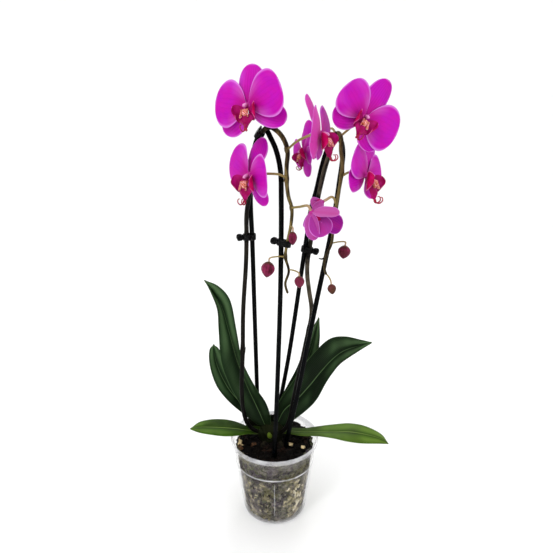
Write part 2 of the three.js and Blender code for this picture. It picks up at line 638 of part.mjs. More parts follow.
// ---------------------------------------------------------------- leaves
// Each leaf is stretched between its left edge, its midrib and its right edge, from the crown to the tip.
const LEAVES = [
  {
    slot: 'leaf',
    left: [[-23, 2, 129], [-37, -1, 145], [-49, 2, 166], [-61, 5, 189], [-71, 7, 222], [-73, 8, 268],
      [-74, 9, 295], [-81, 10, 317], [-89, 15, 333]],
    rib: [[-13, 4, 127], [-19, 5, 143], [-27, 8, 161], [-37, 11, 184], [-50, 13, 222], [-60, 14, 264],
      [-68, 15, 296], [-79, 16, 316], [-90, 17, 333]],
    right: [[-5, 1, 129], [-6, -5, 149], [-12, -2, 167], [-26, 1, 189], [-42, 3, 225], [-49, 4, 268],
      [-56, 5, 309], [-70, 6, 328], [-89, 14, 334]],
  },
  {
    slot: 'leaf',
    left: [[-26, 12, 124], [-43, 14, 138], [-63, 19, 154], [-79, 23, 174], [-87, 26, 195], [-90, 28, 216],
      [-84, 32, 235]],
    rib: [[-18, 13, 121], [-30, 18, 133], [-46, 23, 149], [-62, 27, 167], [-74, 30, 189], [-82, 32, 212],
      [-83, 33, 236]],
    right: [[-9, 12, 127], [-18, 14, 145], [-30, 19, 161], [-44, 23, 179], [-57, 26, 200], [-71, 28, 222],
      [-82, 32, 235]],
  },
  {
    slot: 'leaf',
    left: [[-2, 6, 134], [7, 4, 165], [22, 5, 190], [38, 7, 216], [55, 9, 238], [73, 9, 255], [92, 7, 259],
      [113, 3, 256], [126, 2, 253]],
    rib: [[3, 8, 126], [13, 9, 148], [31, 10, 165], [48, 12, 185], [61, 14, 202], [76, 14, 221], [92, 12, 236],
      [113, 8, 246], [127, 4, 252]],
    right: [[13, 6, 124], [29, 3, 138], [46, 4, 153], [58, 6, 167], [69, 8, 189], [78, 8, 205], [89, 6, 221],
      [109, 2, 239], [126, 2, 251]],
  },
  {
    slot: 'leaf',
    left: [[-5, 13, 126], [6, 17, 156], [17, 21, 178], [29, 23, 202], [37, 24, 225], [44, 25, 251], [58, 27, 276]],
    rib: [[0, 14, 121], [10, 20, 146], [23, 24, 167], [36, 26, 188], [44, 27, 212], [52, 28, 240], [59, 28, 277]],
    right: [[9, 13, 121], [21, 17, 143], [37, 21, 164], [49, 23, 189], [57, 24, 213], [61, 25, 246], [60, 27, 276]],
  },
  {
    slot: 'youngLeaf',
    left: [[-14, 1, 117], [-24, -2, 117], [-38, -5, 119], [-52, -12, 121], [-67, -16, 123], [-85, -17, 126], [-102, -12, 126],
      [-115, -2, 124]],
    rib: [[-14, 4, 119], [-24, 3, 119], [-38, 2, 120], [-53, 1, 123], [-68, 0, 125], [-87, 0, 126], [-104, 0, 126],
      [-116, 0, 124]],
    right: [[-14, 8, 121], [-24, 9, 122], [-38, 9, 123], [-54, 13, 127], [-70, 17, 128], [-89, 17, 128], [-105, 12, 127],
      [-115, 2, 124]],
  },
  {
    slot: 'youngLeaf',
    left: [[8, 7, 121], [21, 7, 121], [41, 8, 120], [61, 11, 121], [83, 14, 122], [106, 15, 123], [128, 12, 120],
      [148, 4, 113], [155, -7, 107]],
    rib: [[8, 3, 119], [21, 2, 119], [39, 1, 118], [60, 0, 119], [82, -1, 119], [102, -2, 120], [122, -4, 118],
      [143, -6, 113], [156, -8, 106]],
    right: [[8, -1, 118], [21, -3, 118], [37, -6, 117], [58, -10, 119], [79, -15, 119], [97, -19, 117], [117, -19, 114],
      [139, -14, 110], [155, -9, 106]],
  },
];

function leafSurface(leaf) {
  const curves = [leaf.left, leaf.rib, leaf.right].map((edge) => (
    new THREE.CatmullRomCurve3(edge.map(vec), false, 'catmullrom', 0.5)
  ));
  return (u, v) => {
    const [left, rib, right] = curves.map((curve) => curve.getPoint(u));
    const edge = v < 0 ? left : right;
    const share = Math.abs(v);
    const fold = 0.25 * share * (1 - share);
    const point = rib.clone().lerp(edge, share);
    const across = edge.distanceTo(rib);
    return point.add(new THREE.Vector3(0, -fold * across * 0.6, fold * across * 0.4));
  };
}

function makeLeaf(leaf, grow) {
  const rows = [0, 0.12, 0.26, 0.4, 0.54, 0.68, 0.82, 0.93, 1];
  const columns = [-1, -0.5, 0, 0.5, 1];
  return blade(leafSurface(leaf), rows, columns, LEAF_THICKNESS + 2 * grow);
}

// ---------------------------------------------------------------- crown with its roots
const ROOTS = [
  [[-6, 2, 110], [-17, -8, 103], [-27, -18, 97], [-34, -24, 84]],
  [[2, 2, 110], [11, -9, 103], [20, -20, 97], [26, -28, 84]],
  [[4, 9, 110], [18, 20, 105], [28, 28, 98], [34, 32, 84]],
];

function crownCore(grow) {
  const core = new THREE.SphereGeometry(1, 10, 8);
  core.scale(18 + grow, 11 + grow, 15 + grow);
  core.translate(-4, 5, 117);
  return solidOf(core);
}

function makeCrown(grow) {
  const roots = ROOTS.map((route) => bar(route, (u) => 3.1 - 0.5 * u + grow, 6, 6));
  return join([crownCore(grow), ...roots]);
}

// ---------------------------------------------------------------- spring clips
// Each clip's ring is set round a rod and a stem that lie side by side, with two finger tabs to one side.
const CLIPS = [
  { side: 'left', at: [-31, 21, 389], tabs: 1 },
  { side: 'left', at: [11, -29, 393], tabs: -1 },
  { side: 'right', at: [41, 23, 372], tabs: 1 },
  { side: 'left', at: [-16, -4, 513], tabs: -1 },
];

function nearestOn(route, target) {
  const curve = new THREE.CatmullRomCurve3(route.map(vec), false, 'centripetal');
  const samples = 600;
  let best = 0;
  for (let i = 1; i <= samples; i += 1) {
    const here = curve.getPointAt(i / samples).distanceTo(target);
    const kept = curve.getPointAt(best).distanceTo(target);
    best = here < kept ? i / samples : best;
  }
  return { point: curve.getPointAt(best), along: curve.getTangentAt(best) };
}

function stadium(shape, half, radius) {
  shape.absarc(half, 0, radius, -Math.PI / 2, Math.PI / 2, false);
  shape.absarc(-half, 0, radius, Math.PI / 2, 1.5 * Math.PI, false);
  return shape;
}

function makeClip(clip) {
  const height = 6;
  const rod = nearestOn(HOOPS[clip.side], vec(clip.at));
  const stem = nearestOn(SPIKES[clip.side].route, rod.point);
  const span = stem.point.clone().sub(rod.point);
  const half = Math.max(span.length() / 2, 2.6);
  const bore = STEM_RADIUS + 0.9;
  const band = 1.2;
  const ring = stadium(new THREE.Shape(), half, bore + band);
  ring.holes.push(stadium(new THREE.Path(), half, bore));
  const loop = new THREE.ExtrudeGeometry(ring, { depth: height, bevelEnabled: false, curveSegments: 4 });
  loop.translate(0, 0, -height / 2);
  const tabShape = stadium(new THREE.Shape(), 1.5, 3.4);
  const tab = (shift) => {
    const plate = new THREE.ExtrudeGeometry(tabShape, { depth: 1.8, bevelEnabled: false, curveSegments: 2 });
    plate.rotateX(Math.PI / 2);
    plate.rotateZ(clip.tabs * shift * 0.12);
    plate.translate(clip.tabs * (half + bore + 4), shift * 2.2 + 0.9, 0);
    return solidOf(plate);
  };
  const clear = new THREE.ExtrudeGeometry(stadium(new THREE.Shape(), half, bore), {
    depth: 2 * height, bevelEnabled: false, curveSegments: 4,
  });
  clear.translate(0, 0, -height);
  const web = new THREE.BoxGeometry(4, 4, 4);
  web.translate(clip.tabs * (half + bore + 2), 0, 0);
  const body = join([solidOf(loop), tab(1), tab(-1), solidOf(web)]).subtract(solidOf(clear));
  const middle = rod.point.clone().lerp(stem.point, 0.5);
  const across = span.clone().normalize();
  const along = rod.along.clone().add(stem.along);
  const up = along.addScaledVector(across, -across.dot(along)).normalize();
  const depth = up.clone().cross(across);
  return moved(body, new THREE.Matrix4().makeBasis(across, depth, up).setPosition(middle));
}

// ---------------------------------------------------------------- the plant
const orchid = new THREE.Group();

function addPiece(name, slot, solid) {
  const mesh = new THREE.Mesh(geometryOf(solid), new THREE.MeshStandardMaterial(MATERIALS[slot]));
  mesh.name = name;
  orchid.add(mesh);
}

const hoopNames = Object.keys(HOOPS);
const grownHoops = hoopNames.map((name) => makeHoop(HOOPS[name], GAP));
const spikeNames = Object.keys(SPIKES);
const spikes = spikeNames.map((name) => makeSpike(name));
const grownStems = spikeNames.map((name) => makeStem(SPIKES[name], GAP));

const bark = carve(makeBark(), [...grownHoops, makeCrown(GAP)]);
addPiece('pot', 'pot', makePot());
addPiece('bark_mix', 'bark', bark);
addPiece('crown', 'crown', carve(makeCrown(0), grownHoops));

const placedLeaves = [crownCore(GAP), ...grownStems, ...grownHoops];
LEAVES.forEach((leaf, i) => {
  addPiece(`leaf_${i + 1}`, leaf.slot, carve(makeLeaf(leaf, 0), placedLeaves));
  placedLeaves.push(makeLeaf(leaf, GAP));
});

hoopNames.forEach((name) => addPiece(`hoop_${name}`, 'wire', makeHoop(HOOPS[name], 0)));
spikeNames.forEach((name, i) => addPiece(`spike_${name}`, 'stem', carve(spikes[i], [crownCore(GAP)])));
CLIPS.forEach((clip, i) => addPiece(`clip_${i + 1}`, 'clip', makeClip(clip)));
BLOOMS.forEach((bloom, i) => {
  addPiece(`bloom_${i + 1}`, 'petal', makeBloom(bloom, 0));
  addPiece(`lip_${i + 1}`, 'lip', makeLip(bloom));
});
BUDS.forEach((bud, i) => addPiece(`bud_${i + 1}`, 'bud', makeBud(bud)));

export default orchid;
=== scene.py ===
"""The looks of a potted moth orchid: two arching spikes of magenta blooms in a clear pot of bark mix.

Shapes are worked out in millimetres, +Z up, with the front towards -Y, and stored in metres.
"""

import math
import random
from types import SimpleNamespace

import bmesh
import bpy
from mathutils import Matrix, Vector


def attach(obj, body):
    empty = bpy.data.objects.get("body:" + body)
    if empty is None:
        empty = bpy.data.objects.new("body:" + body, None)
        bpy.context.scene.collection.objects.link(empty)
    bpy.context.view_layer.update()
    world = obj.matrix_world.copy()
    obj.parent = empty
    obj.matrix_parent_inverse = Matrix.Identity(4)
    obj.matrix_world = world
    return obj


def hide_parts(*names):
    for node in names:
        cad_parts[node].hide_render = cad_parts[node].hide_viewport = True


bl_info = {
    "name": "Potted Orchid",
    "version": (1, 0, 0),
    "blender": (4, 5, 0),
    "location": "3D View > Sidebar > Orchid",
    "description": "Models a potted moth orchid around its packed solids",
    "category": "Object",
}

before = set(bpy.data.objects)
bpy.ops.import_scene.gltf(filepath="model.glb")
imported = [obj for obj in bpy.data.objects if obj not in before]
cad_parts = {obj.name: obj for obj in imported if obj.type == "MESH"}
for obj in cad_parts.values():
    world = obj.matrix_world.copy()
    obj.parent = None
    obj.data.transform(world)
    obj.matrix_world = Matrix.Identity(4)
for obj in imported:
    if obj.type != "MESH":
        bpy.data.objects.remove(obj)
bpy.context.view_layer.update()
MM = 0.001
BODY = "root"


# ---------------------------------------------------------------- sizes and colours
def hexed(text):
    """The linear colour of a hex sRGB code."""
    parts = [int(text[i:i + 2], 16) / 255 for i in (0, 2, 4)]
    return tuple(c / 12.92 if c <= 0.04045 else ((c + 0.055) / 1.055) ** 2.4 for c in parts)


def dimmed(colour, share):
    return tuple(c * share for c in colour)


def colour_property(name, description, code):
    """A colour that a user can change, given as a hex sRGB code."""
    return bpy.props.FloatVectorProperty(
        name=name, description=description, subtype="COLOR", size=3, min=0, max=1, default=hexed(code))


def length_property(name, description, millimetres):
    """A length that a user can change."""
    return bpy.props.FloatProperty(
        name=name, description=description, unit="LENGTH", min=0, default=millimetres * MM)


class OrchidSizes(bpy.types.PropertyGroup):
    """The sizes that set the plant and its pot"""

    pot_height: length_property("Pot height", "Height of the pot over its rim", 115)
    rim_radius: length_property("Rim radius", "Outside radius of the pot's rim", 60)
    rim_height: length_property("Rim height", "Height of the rim band", 6)
    neck_radius: length_property("Neck radius", "Outside radius of the wall under the rim", 56.9)
    foot_radius: length_property("Foot radius", "Radius at which the wall's line meets the ground", 43.3)
    foot_round: length_property("Foot rounding", "Radius of the rounded foot", 9)
    wall: length_property("Wall", "Thickness of the pot's wall", 1.3)
    bead_height: length_property("Bead height", "Height of the moulded line round the wall", 81)
    soil_level: length_property("Soil level", "Height of the bark mix's top", 103)
    hoop_radius: length_property("Hoop radius", "Radius of the wire hoops", 3.0)
    stem_radius: length_property("Stem radius", "Radius of a flower spike near its foot", 2.85)
    stem_tip_radius: length_property("Stem tip radius", "Radius of a flower spike at its tip", 1.5)
    pedicel_radius: length_property("Pedicel radius", "Radius of a bloom's stalk", 1.25)
    leaf_thickness: length_property("Leaf thickness", "Thickness of a leaf at its middle", 1.6)
    petal_thickness: length_property("Petal thickness", "Thickness of a petal at its middle", 0.8)


class OrchidColours(bpy.types.PropertyGroup):
    """The colours of the plant, its pot and its supports"""

    petal: colour_property("Petal", "Face of the petals", "bc08a3")
    # Its use on the rims is partly painted glow of light through the thin petal edges.
    petal_pale: colour_property("Petal rim", "Rims and veined bases of the petals", "d27ad6")
    petal_deep: colour_property("Petal centre", "Petals next to the column", "ad0a78")
    petal_back: colour_property("Petal back", "Backs of the petals", "db74b4")
    lip: colour_property("Lip", "Lobes of the lip", "c4085e")
    lip_deep: colour_property("Lip throat", "Darkest part of the lip", "98053c")
    callus: colour_property("Callus", "Crest at the middle of the lip", "e8a07a")
    column: colour_property("Column", "Tip of the column", "e08cc8")
    bud: colour_property("Bud", "Closed buds", "4e0e22")
    bud_base: colour_property("Bud base", "Greenish foot of a bud", "4c3a20")
    leaf: colour_property("Leaf", "Dark green leaves", "0e200d")
    leaf_rib: colour_property("Leaf midrib", "Pale midrib of a dark leaf", "5d7a4c")
    young_leaf: colour_property("Young leaf", "Lighter green leaves", "28420a")
    stem: colour_property("Stem", "Brown of the flower spikes", "241b13")
    stem_green: colour_property("Stem green", "Olive patches of the flower spikes", "5f5430")
    pedicel: colour_property("Pedicel", "Stalks of the blooms", "8d7a3c")
    wire: colour_property("Wire", "Coating of the hoops", "020304")
    clip: colour_property("Clip", "Plastic of the clips", "030304")
    pot: colour_property("Pot", "Haze of the clear pot", "c6bfb2")
    bark: colour_property("Bark", "Darkest bark chips", "0e0a07")
    bark_light: colour_property("Light bark", "Lighter bark chips", "6b4c33")
    bark_cream: colour_property("Cream bark", "Palest bark chips", "e6cf9e")
    moss: colour_property("Moss", "Algae on the chips behind the wall", "4c5038")


def in_millimetres(context):
    """The plant's sizes as plain numbers in millimetres."""
    group = context.scene.orchid_sizes
    return SimpleNamespace(**{name: getattr(group, name) / MM for name in OrchidSizes.__annotations__})


# ---------------------------------------------------------------- curves
class Route:
    """A smooth line through points; at(u) is its place for u from 0 to 1.

    A centripetal line stays closer to unevenly spaced points.
    """

    def __init__(self, points, centripetal=True):
        self.points = [Vector(p) for p in points]
        self.centripetal = centripetal

    def _span(self, u):
        last = len(self.points) - 1
        place = min(max(u, 0.0), 1.0) * last
        index = min(int(place), last - 1)
        return index, place - index

    def at(self, u):
        index, weight = self._span(u)
        points = self.points
        p1, p2 = points[index], points[index + 1]
        p0 = points[index - 1] if index > 0 else 2 * p1 - p2
        p3 = points[index + 2] if index + 2 < len(points) else 2 * p2 - p1
        if self.centripetal:
            d0, d1, d2 = [max((b - a).length, 1e-6) ** 0.5 for a, b in ((p0, p1), (p1, p2), (p2, p3))]
            t1 = ((p1 - p0) / d0 - (p2 - p0) / (d0 + d1) + (p2 - p1) / d1) * d1
            t2 = ((p2 - p1) / d1 - (p3 - p1) / (d1 + d2) + (p3 - p2) / d2) * d1
        else:
            t1, t2 = 0.5 * (p2 - p0), 0.5 * (p3 - p1)
        w = weight
        return (p1 + t1 * w + (3 * (p2 - p1) - 2 * t1 - t2) * w * w
                + (2 * (p1 - p2) + t1 + t2) * w * w * w)

    def along(self, u):
        """The line's direction at u."""
        step = 1e-4
        return (self.at(min(u + step, 1)) - self.at(max(u - step, 0))).normalized()

    def nearest(self, target, samples=800):
        """Where on the line a point comes closest."""
        return min((i / samples for i in range(samples + 1)),
                   key=lambda u: (self.at(u) - target).length_squared)


def smooth(low, high, value):
    """Rises smoothly from 0 to 1 while value goes from low to high."""
    t = min(max((value - low) / (high - low), 0.0), 1.0)
    return t * t * (3 - 2 * t)


# ---------------------------------------------------------------- shapes
# The side from which a bar's rings are counted. No bar starts along it.
FIRST_SIDE = Vector((0.31, -0.87, 0.38))
WELD_DISTANCE = 1e-4


class Shape:
    """A mesh being modelled, in millimetres. Each part keeps its own material number and tone."""

    def __init__(self):
        self.bm = bmesh.new()
        self.uv = self.bm.loops.layers.uv.new("UVMap")
        self.tone = self.bm.verts.layers.float.new("tone")

    def settle(self, verts, slot, tone, shade=True):
        """Gives a part its material number, tone and shading."""
        faces = {face for vert in verts for face in vert.link_faces}
        for vert in verts:
            vert[self.tone] = tone
        for face in faces:
            face.material_index = slot
            face.smooth = shade
        return faces

    def weld(self, verts):
        bmesh.ops.remove_doubles(self.bm, verts=verts, dist=WELD_DISTANCE)
        return [vert for vert in verts if vert.is_valid]

    def _close(self, verts):
        """Fills the open ends of a part."""
        edges = {edge for vert in verts for edge in vert.link_edges if edge.is_boundary}
        if edges:
            bmesh.ops.holes_fill(self.bm, edges=list(edges), sides=0)

    def bar(self, route, radius_at, sides=12, steps=40, slot=0, tone=0.5):
        """A round bar along a route, with closed ends; radius_at(u, centre) gives its radius."""
        route = route if isinstance(route, Route) else Route(route)
        normal = FIRST_SIDE
        frames = []
        for i in range(steps + 1):
            centre, tangent = route.at(i / steps), route.along(i / steps)
            normal = (normal - tangent * normal.dot(tangent)).normalized()
            frames.append((centre, normal.copy(), tangent.cross(normal)))
        verts = bmesh.ops.create_grid(self.bm, x_segments=sides, y_segments=steps, size=1)["verts"]
        places = {}
        for vert in verts:
            turn, u = math.pi * (vert.co.x + 1), (vert.co.y + 1) / 2
            centre, side, other = frames[round(u * steps)]
            places[vert] = ((vert.co.x + 1) / 2, u)
            vert.co = centre + (side * math.cos(turn) + other * math.sin(turn)) * radius_at(u, centre)
        self._map(verts, places)
        verts = self.weld(verts)
        self._close(verts)
        self.settle(verts, slot, tone)
        return verts

    def _map(self, verts, places):
        """Lays out the UV map: across the part and along it, each from 0 to 1."""
        for face in {face for vert in verts for face in vert.link_faces}:
            for loop in face.loops:
                loop[self.uv].uv = places[loop.vert]

    def blade(self, surface, rows, columns, thickness_at, front=0, back=1, tone=0.5):
        """A thin closed blade. surface(u, v) has u along it and v from -1 to 1 across.

        Its front is the side with material number front.
        """
        step, to_the_front = 1e-3, 1e-9
        verts = bmesh.ops.create_grid(self.bm, x_segments=2 * columns, y_segments=rows, size=1)["verts"]
        places, fronts = {}, {}
        for vert in verts:
            turn, u = math.pi * (vert.co.x + 1), (vert.co.y + 1) / 2
            v = -math.cos(turn)
            fronts[vert] = vert.co.x
            centre = surface(u, v)
            along = surface(min(u + step, 1), v) - surface(max(u - step, 0), v)
            across = surface(u, min(v + step, 1)) - surface(u, max(v - step, -1))
            normal = across.cross(along).normalized()
            places[vert] = ((v + 1) / 2, u)
            lift = thickness_at(u, v) / 2 * math.sqrt(max(0.0, 1 - v ** 4))
            vert.co = centre + normal * math.copysign(lift, math.sin(turn) + to_the_front)
        self._map(verts, places)
        for face in {face for vert in verts for face in vert.link_faces}:
            middle = sum(fronts[vert] for vert in face.verts) / len(face.verts)
            face.material_index = front if middle < 0 else back
            face.smooth = True
        for vert in verts:
            vert[self.tone] = tone
        verts = self.weld(verts)
        self._close(verts)
        return verts

    def ball(self, centre, radii, slot=0, tone=0.5, fineness=2):
        """A rounded lump with its own radius along each axis."""
        place = Matrix.Translation(centre) @ Matrix.Diagonal((*radii, 1))
        verts = bmesh.ops.create_icosphere(self.bm, subdivisions=fineness, radius=1, matrix=place)["verts"]
        self.settle(verts, slot, tone)
        return verts

    def slab(self, sizes, place, slot=0, tone=0.5):
        """A block with flat sides."""
        verts = bmesh.ops.create_cube(self.bm, size=1, matrix=Matrix.Diagonal((*sizes, 1)))["verts"]
        bmesh.ops.transform(self.bm, matrix=place, verts=verts)
        self.settle(verts, slot, tone, shade=False)
        return verts

    def spun(self, profile, steps, slot=0, tone=0.5):
        """A profile of (radius, height) points, from axis to axis, spun about +Z in an empty shape."""
        verts = [self.bm.verts.new((radius, 0, height)) for radius, height in profile]
        edges = [self.bm.edges.new(pair) for pair in zip(verts, verts[1:])]
        bmesh.ops.spin(self.bm, geom=verts + edges, cent=(0, 0, 0), axis=(0, 0, 1), dvec=(0, 0, 0),
                       angle=math.tau, steps=steps, use_merge=True)
        made = self.weld(list(self.bm.verts))
        faces = self.settle(made, slot, tone)
        bmesh.ops.recalc_face_normals(self.bm, faces=list(faces))
        return made

    def move(self, matrix):
        bmesh.ops.transform(self.bm, matrix=matrix, verts=self.bm.verts)

    def piece(self, name, materials, node):
        """Makes the finished object, in metres at the origin, and hands it to the frame."""
        bmesh.ops.scale(self.bm, vec=(MM, MM, MM), verts=self.bm.verts)
        mesh = bpy.data.meshes.new(name)
        self.bm.to_mesh(mesh)
        self.bm.free()
        for material in materials:
            mesh.materials.append(material)
        made = bpy.data.objects.new(name, mesh)
        bpy.context.scene.collection.objects.link(made)
        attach(made, BODY)
        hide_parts(node)


# ---------------------------------------------------------------- materials
class Signal:
    """A socket's number in a material. Sums on it add Math nodes."""

    def __init__(self, paint, socket):
        self.paint = paint
        self.socket = socket

    def _math(self, operation, *values):
        return self.paint.node("ShaderNodeMath", {"operation": operation}, dict(enumerate(values)))

    def __add__(self, other):
        return self._math("ADD", self, other)

    def __sub__(self, other):
        return self._math("SUBTRACT", self, other)

    def __rsub__(self, other):
        return self._math("SUBTRACT", other, self)

    def __mul__(self, other):
        return self._math("MULTIPLY", self, other)

    def __abs__(self):
        return self._math("ABSOLUTE", self)

    __radd__ = __add__
    __rmul__ = __mul__

    def most(self, other):
        return self._math("MAXIMUM", self, other)

    def least(self, other):
        return self._math("MINIMUM", self, other)

    def sine(self):
        return self._math("SINE", self)

    def step(self, low, high, out_low=0.0, out_high=1.0):
        """Rises smoothly from out_low to out_high while the number goes from low to high."""
        return self.paint.node(
            "ShaderNodeMapRange", {"interpolation_type": "SMOOTHSTEP"},
            {"Value": self, "From Min": low, "From Max": high, "To Min": out_low, "To Max": out_high})


class Paint:
    """A procedural material round one Principled shader."""

    def __init__(self, name, **constants):
        self.material = bpy.data.materials.new(name)
        self.material.use_nodes = True
        self.nodes = self.material.node_tree.nodes
        self.links = self.material.node_tree.links
        self.shader = self.nodes["Principled BSDF"]
        for key, value in constants.items():
            self.feed(self.shader.inputs[key.replace("_", " ").title().replace("Ior", "IOR")], value)

    def feed(self, socket, value):
        """Links a signal to a socket, or sets the socket's own number, vector or colour."""
        if isinstance(value, Signal):
            self.links.new(value.socket, socket)
        elif hasattr(value, "__len__"):
            values = list(value)
            if socket.type == "RGBA" and len(values) == 3:
                values.append(1.0)
            socket.default_value = values
        else:
            socket.default_value = value

    def node(self, kind, settings=None, inputs=None, output=0):
        """Adds a node: its settings first, then the values or links of its sockets."""
        node = self.nodes.new(kind)
        for key, value in (settings or {}).items():
            if key == "stops":
                ramp = node.color_ramp
                while len(ramp.elements) < len(value):
                    ramp.elements.new(1.0)
                for element, (place, colour) in zip(ramp.elements, value):
                    element.position = place
                    element.color = (*colour, 1)
            else:
                setattr(node, key, value)
        for key, value in (inputs or {}).items():
            self.feed(node.inputs[key], value)
        return Signal(self, node.outputs[output])

    def mix(self, share, first, second):
        """Colour first, going over to colour second as share rises to 1."""
        return self.node("ShaderNodeMix", {"data_type": "RGBA", "blend_type": "MIX"},
                         {0: share, 6: first, 7: second}, output=2)

    def uv(self):
        """Across and along the piece, each from 0 to 1."""
        place = self.node("ShaderNodeUVMap", {"uv_map": "UVMap"})
        split = self.node("ShaderNodeSeparateXYZ", None, {0: place})
        across, along = split.socket.node.outputs[:2]
        return Signal(self, across), Signal(self, along)

    def tone(self):
        """The number that each part of a piece carries."""
        return self.node("ShaderNodeAttribute", {"attribute_name": "tone"}, output=2)

    def grain(self, scale, detail=3.0, stretch=None, distortion=0.0):
        """Noise in the piece's own place; scale is in spots per metre."""
        place = self.node("ShaderNodeTexCoord", output=3)
        if stretch:
            place = self.node("ShaderNodeMapping", None, {0: place, 3: stretch})
        return self.node("ShaderNodeTexNoise", None,
                         {0: place, "Scale": scale, "Detail": detail, "Distortion": distortion})

    def bump(self, height, strength, distance):
        """Fine relief in the light only; distance is in millimetres."""
        made = self.node("ShaderNodeBump", None,
                         {"Height": height, "Strength": strength, "Distance": distance * MM})
        self.links.new(made.socket, self.shader.inputs["Normal"])

    def colour(self, value):
        self.feed(self.shader.inputs["Base Color"], value)

    def done(self):
        return self.material


def petal_face(colours, name, veined):
    """A petal's face: deep at its foot, hazy patches, fine veins and a pale rim that is partly painted glow
    of light through the thin edge.
    """
    violet, vein, haze, blush = hexed("b409ac"), hexed("96067e"), hexed("cf52d4"), hexed("d4509e")
    paint = Paint(name, roughness=0.5, specular_ior_level=0.08)
    across, along = paint.uv()
    side = abs(across * 2 - 1)
    cloud = paint.grain(90, 2)
    veins = ((across - 0.5) * 62 + cloud * 3.2).sine().step(0.35, 1.0)
    # The pale rim is partly the petal's own paler edge and partly painted glow of light shining through it.
    rim = side.step(0.86, 0.985).most(along.step(0.8, 0.96))
    base = along.step(0.05, 0.34, 1, 0)
    pale_base = along.step(0.02, 0.12) * along.step(0.14, 0.4, 1, 0) * side.step(0.3, 0.8)
    hue = paint.mix(cloud.step(0.35, 0.7), colours.petal, violet)
    hue = paint.mix(base * 0.75, hue, colours.petal_deep)
    hue = paint.mix(pale_base * 0.25, hue, colours.petal_pale)
    hue = paint.mix(veins * veined * (1 - along * 0.5), hue, vein)
    hue = paint.mix(paint.grain(34, 2).step(0.48, 0.7) * side.step(0.15, 0.9) * 0.3, hue, haze)
    hue = paint.mix(paint.tone().step(0.6, 1.0) * 0.5, hue, blush)
    hue = paint.mix(rim * 0.9, hue, colours.petal_pale)
    paint.colour(hue)
    paint.bump(veins * 0.5 + cloud, 0.25, 0.4)
    return paint.done()


def petal_reverse(colours):
    """A petal's back: from deep to pale with its tone, deeper along its veins and its middle, with a pale rim
    that is partly painted glow of light through the thin edge.
    """
    deep, vein, middle = hexed("8c1088"), hexed("b01c86"), hexed("b8207c")
    paint = Paint("petal_back", roughness=0.55, specular_ior_level=0.08)
    across, along = paint.uv()
    side = abs(across * 2 - 1)
    cloud = paint.grain(80, 2)
    veins = ((across - 0.5) * 58 + cloud * 3).sine().step(0.1, 0.9)
    # The pale rim is partly the petal's own paler edge and partly painted glow of light shining through it.
    rim = side.step(0.9, 0.98).most(along.step(0.82, 0.95))
    hue = paint.mix(paint.tone(), deep, colours.petal_back)
    hue = paint.mix(veins * 0.3, hue, vein)
    hue = paint.mix(side.step(0.5, 0.0) * 0.3, hue, middle)
    hue = paint.mix(rim * 0.9, hue, colours.petal_pale)
    paint.colour(hue)
    paint.bump(veins, 0.3, 0.4)
    return paint.done()


def lip_face(colours):
    """A lip's face: crimson, striped at its throat, pinker towards its rim."""
    blush, stripe, rim = hexed("c00a72"), hexed("e2a07c"), hexed("e684b8")
    paint = Paint("lip", roughness=0.34, specular_ior_level=0.06)
    across, along = paint.uv()
    side = abs(across * 2 - 1)
    cloud = paint.grain(150, 3)
    stripes = ((across - 0.5) * 44 + cloud * 2.5).sine().step(-0.3, 0.7)
    hue = paint.mix(cloud.step(0.35, 0.7), colours.lip_deep, colours.lip)
    hue = paint.mix(side.step(0.6, 1.0) * 0.55, hue, blush)
    hue = paint.mix(along.step(0.52, 0.2) * stripes * 0.75, hue, stripe)
    hue = paint.mix(side.step(0.86, 0.97) * 0.6, hue, rim)
    paint.colour(hue)
    paint.bump(stripes + cloud, 0.3, 0.3)
    return paint.done()


def lip_reverse():
    paint = Paint("lip_back", roughness=0.4, specular_ior_level=0.06)
    paint.colour(paint.mix(paint.grain(120, 2).step(0.3, 0.75), hexed("8c0648"), hexed("b01270")))
    return paint.done()


def callus_finish(colours):
    """The crest of the lip: cream and pink with crimson streaks and brown spots."""
    pink, streak, spot = hexed("efb6b4"), hexed("b80f48"), hexed("b04a28")
    paint = Paint("callus", roughness=0.4, specular_ior_level=0.12)
    across, along = paint.uv()
    spots = paint.grain(330, 2, stretch=(1, 0.35, 1), distortion=0.8)
    streaks = (across * 38 + along * 22 + spots * 3).sine()
    hue = paint.mix(spots.step(0.42, 0.56), pink, colours.callus)
    hue = paint.mix(streaks.step(-0.2, 0.5) * 0.85, hue, streak)
    paint.colour(paint.mix(spots.step(0.58, 0.66), hue, spot))
    paint.bump(spots, 0.4, 0.3)
    return paint.done()


def column_finish(colours):
    paint = Paint("column", roughness=0.42, specular_ior_level=0.15)
    along = paint.uv()[1]
    paint.colour(paint.mix(along.step(0.25, 0.8), colours.petal_deep, colours.column))
    return paint.done()


def plain_finish(name, colour, roughness, **constants):
    paint = Paint(name, roughness=roughness, **constants)
    paint.colour(tuple(colour))
    return paint.done()


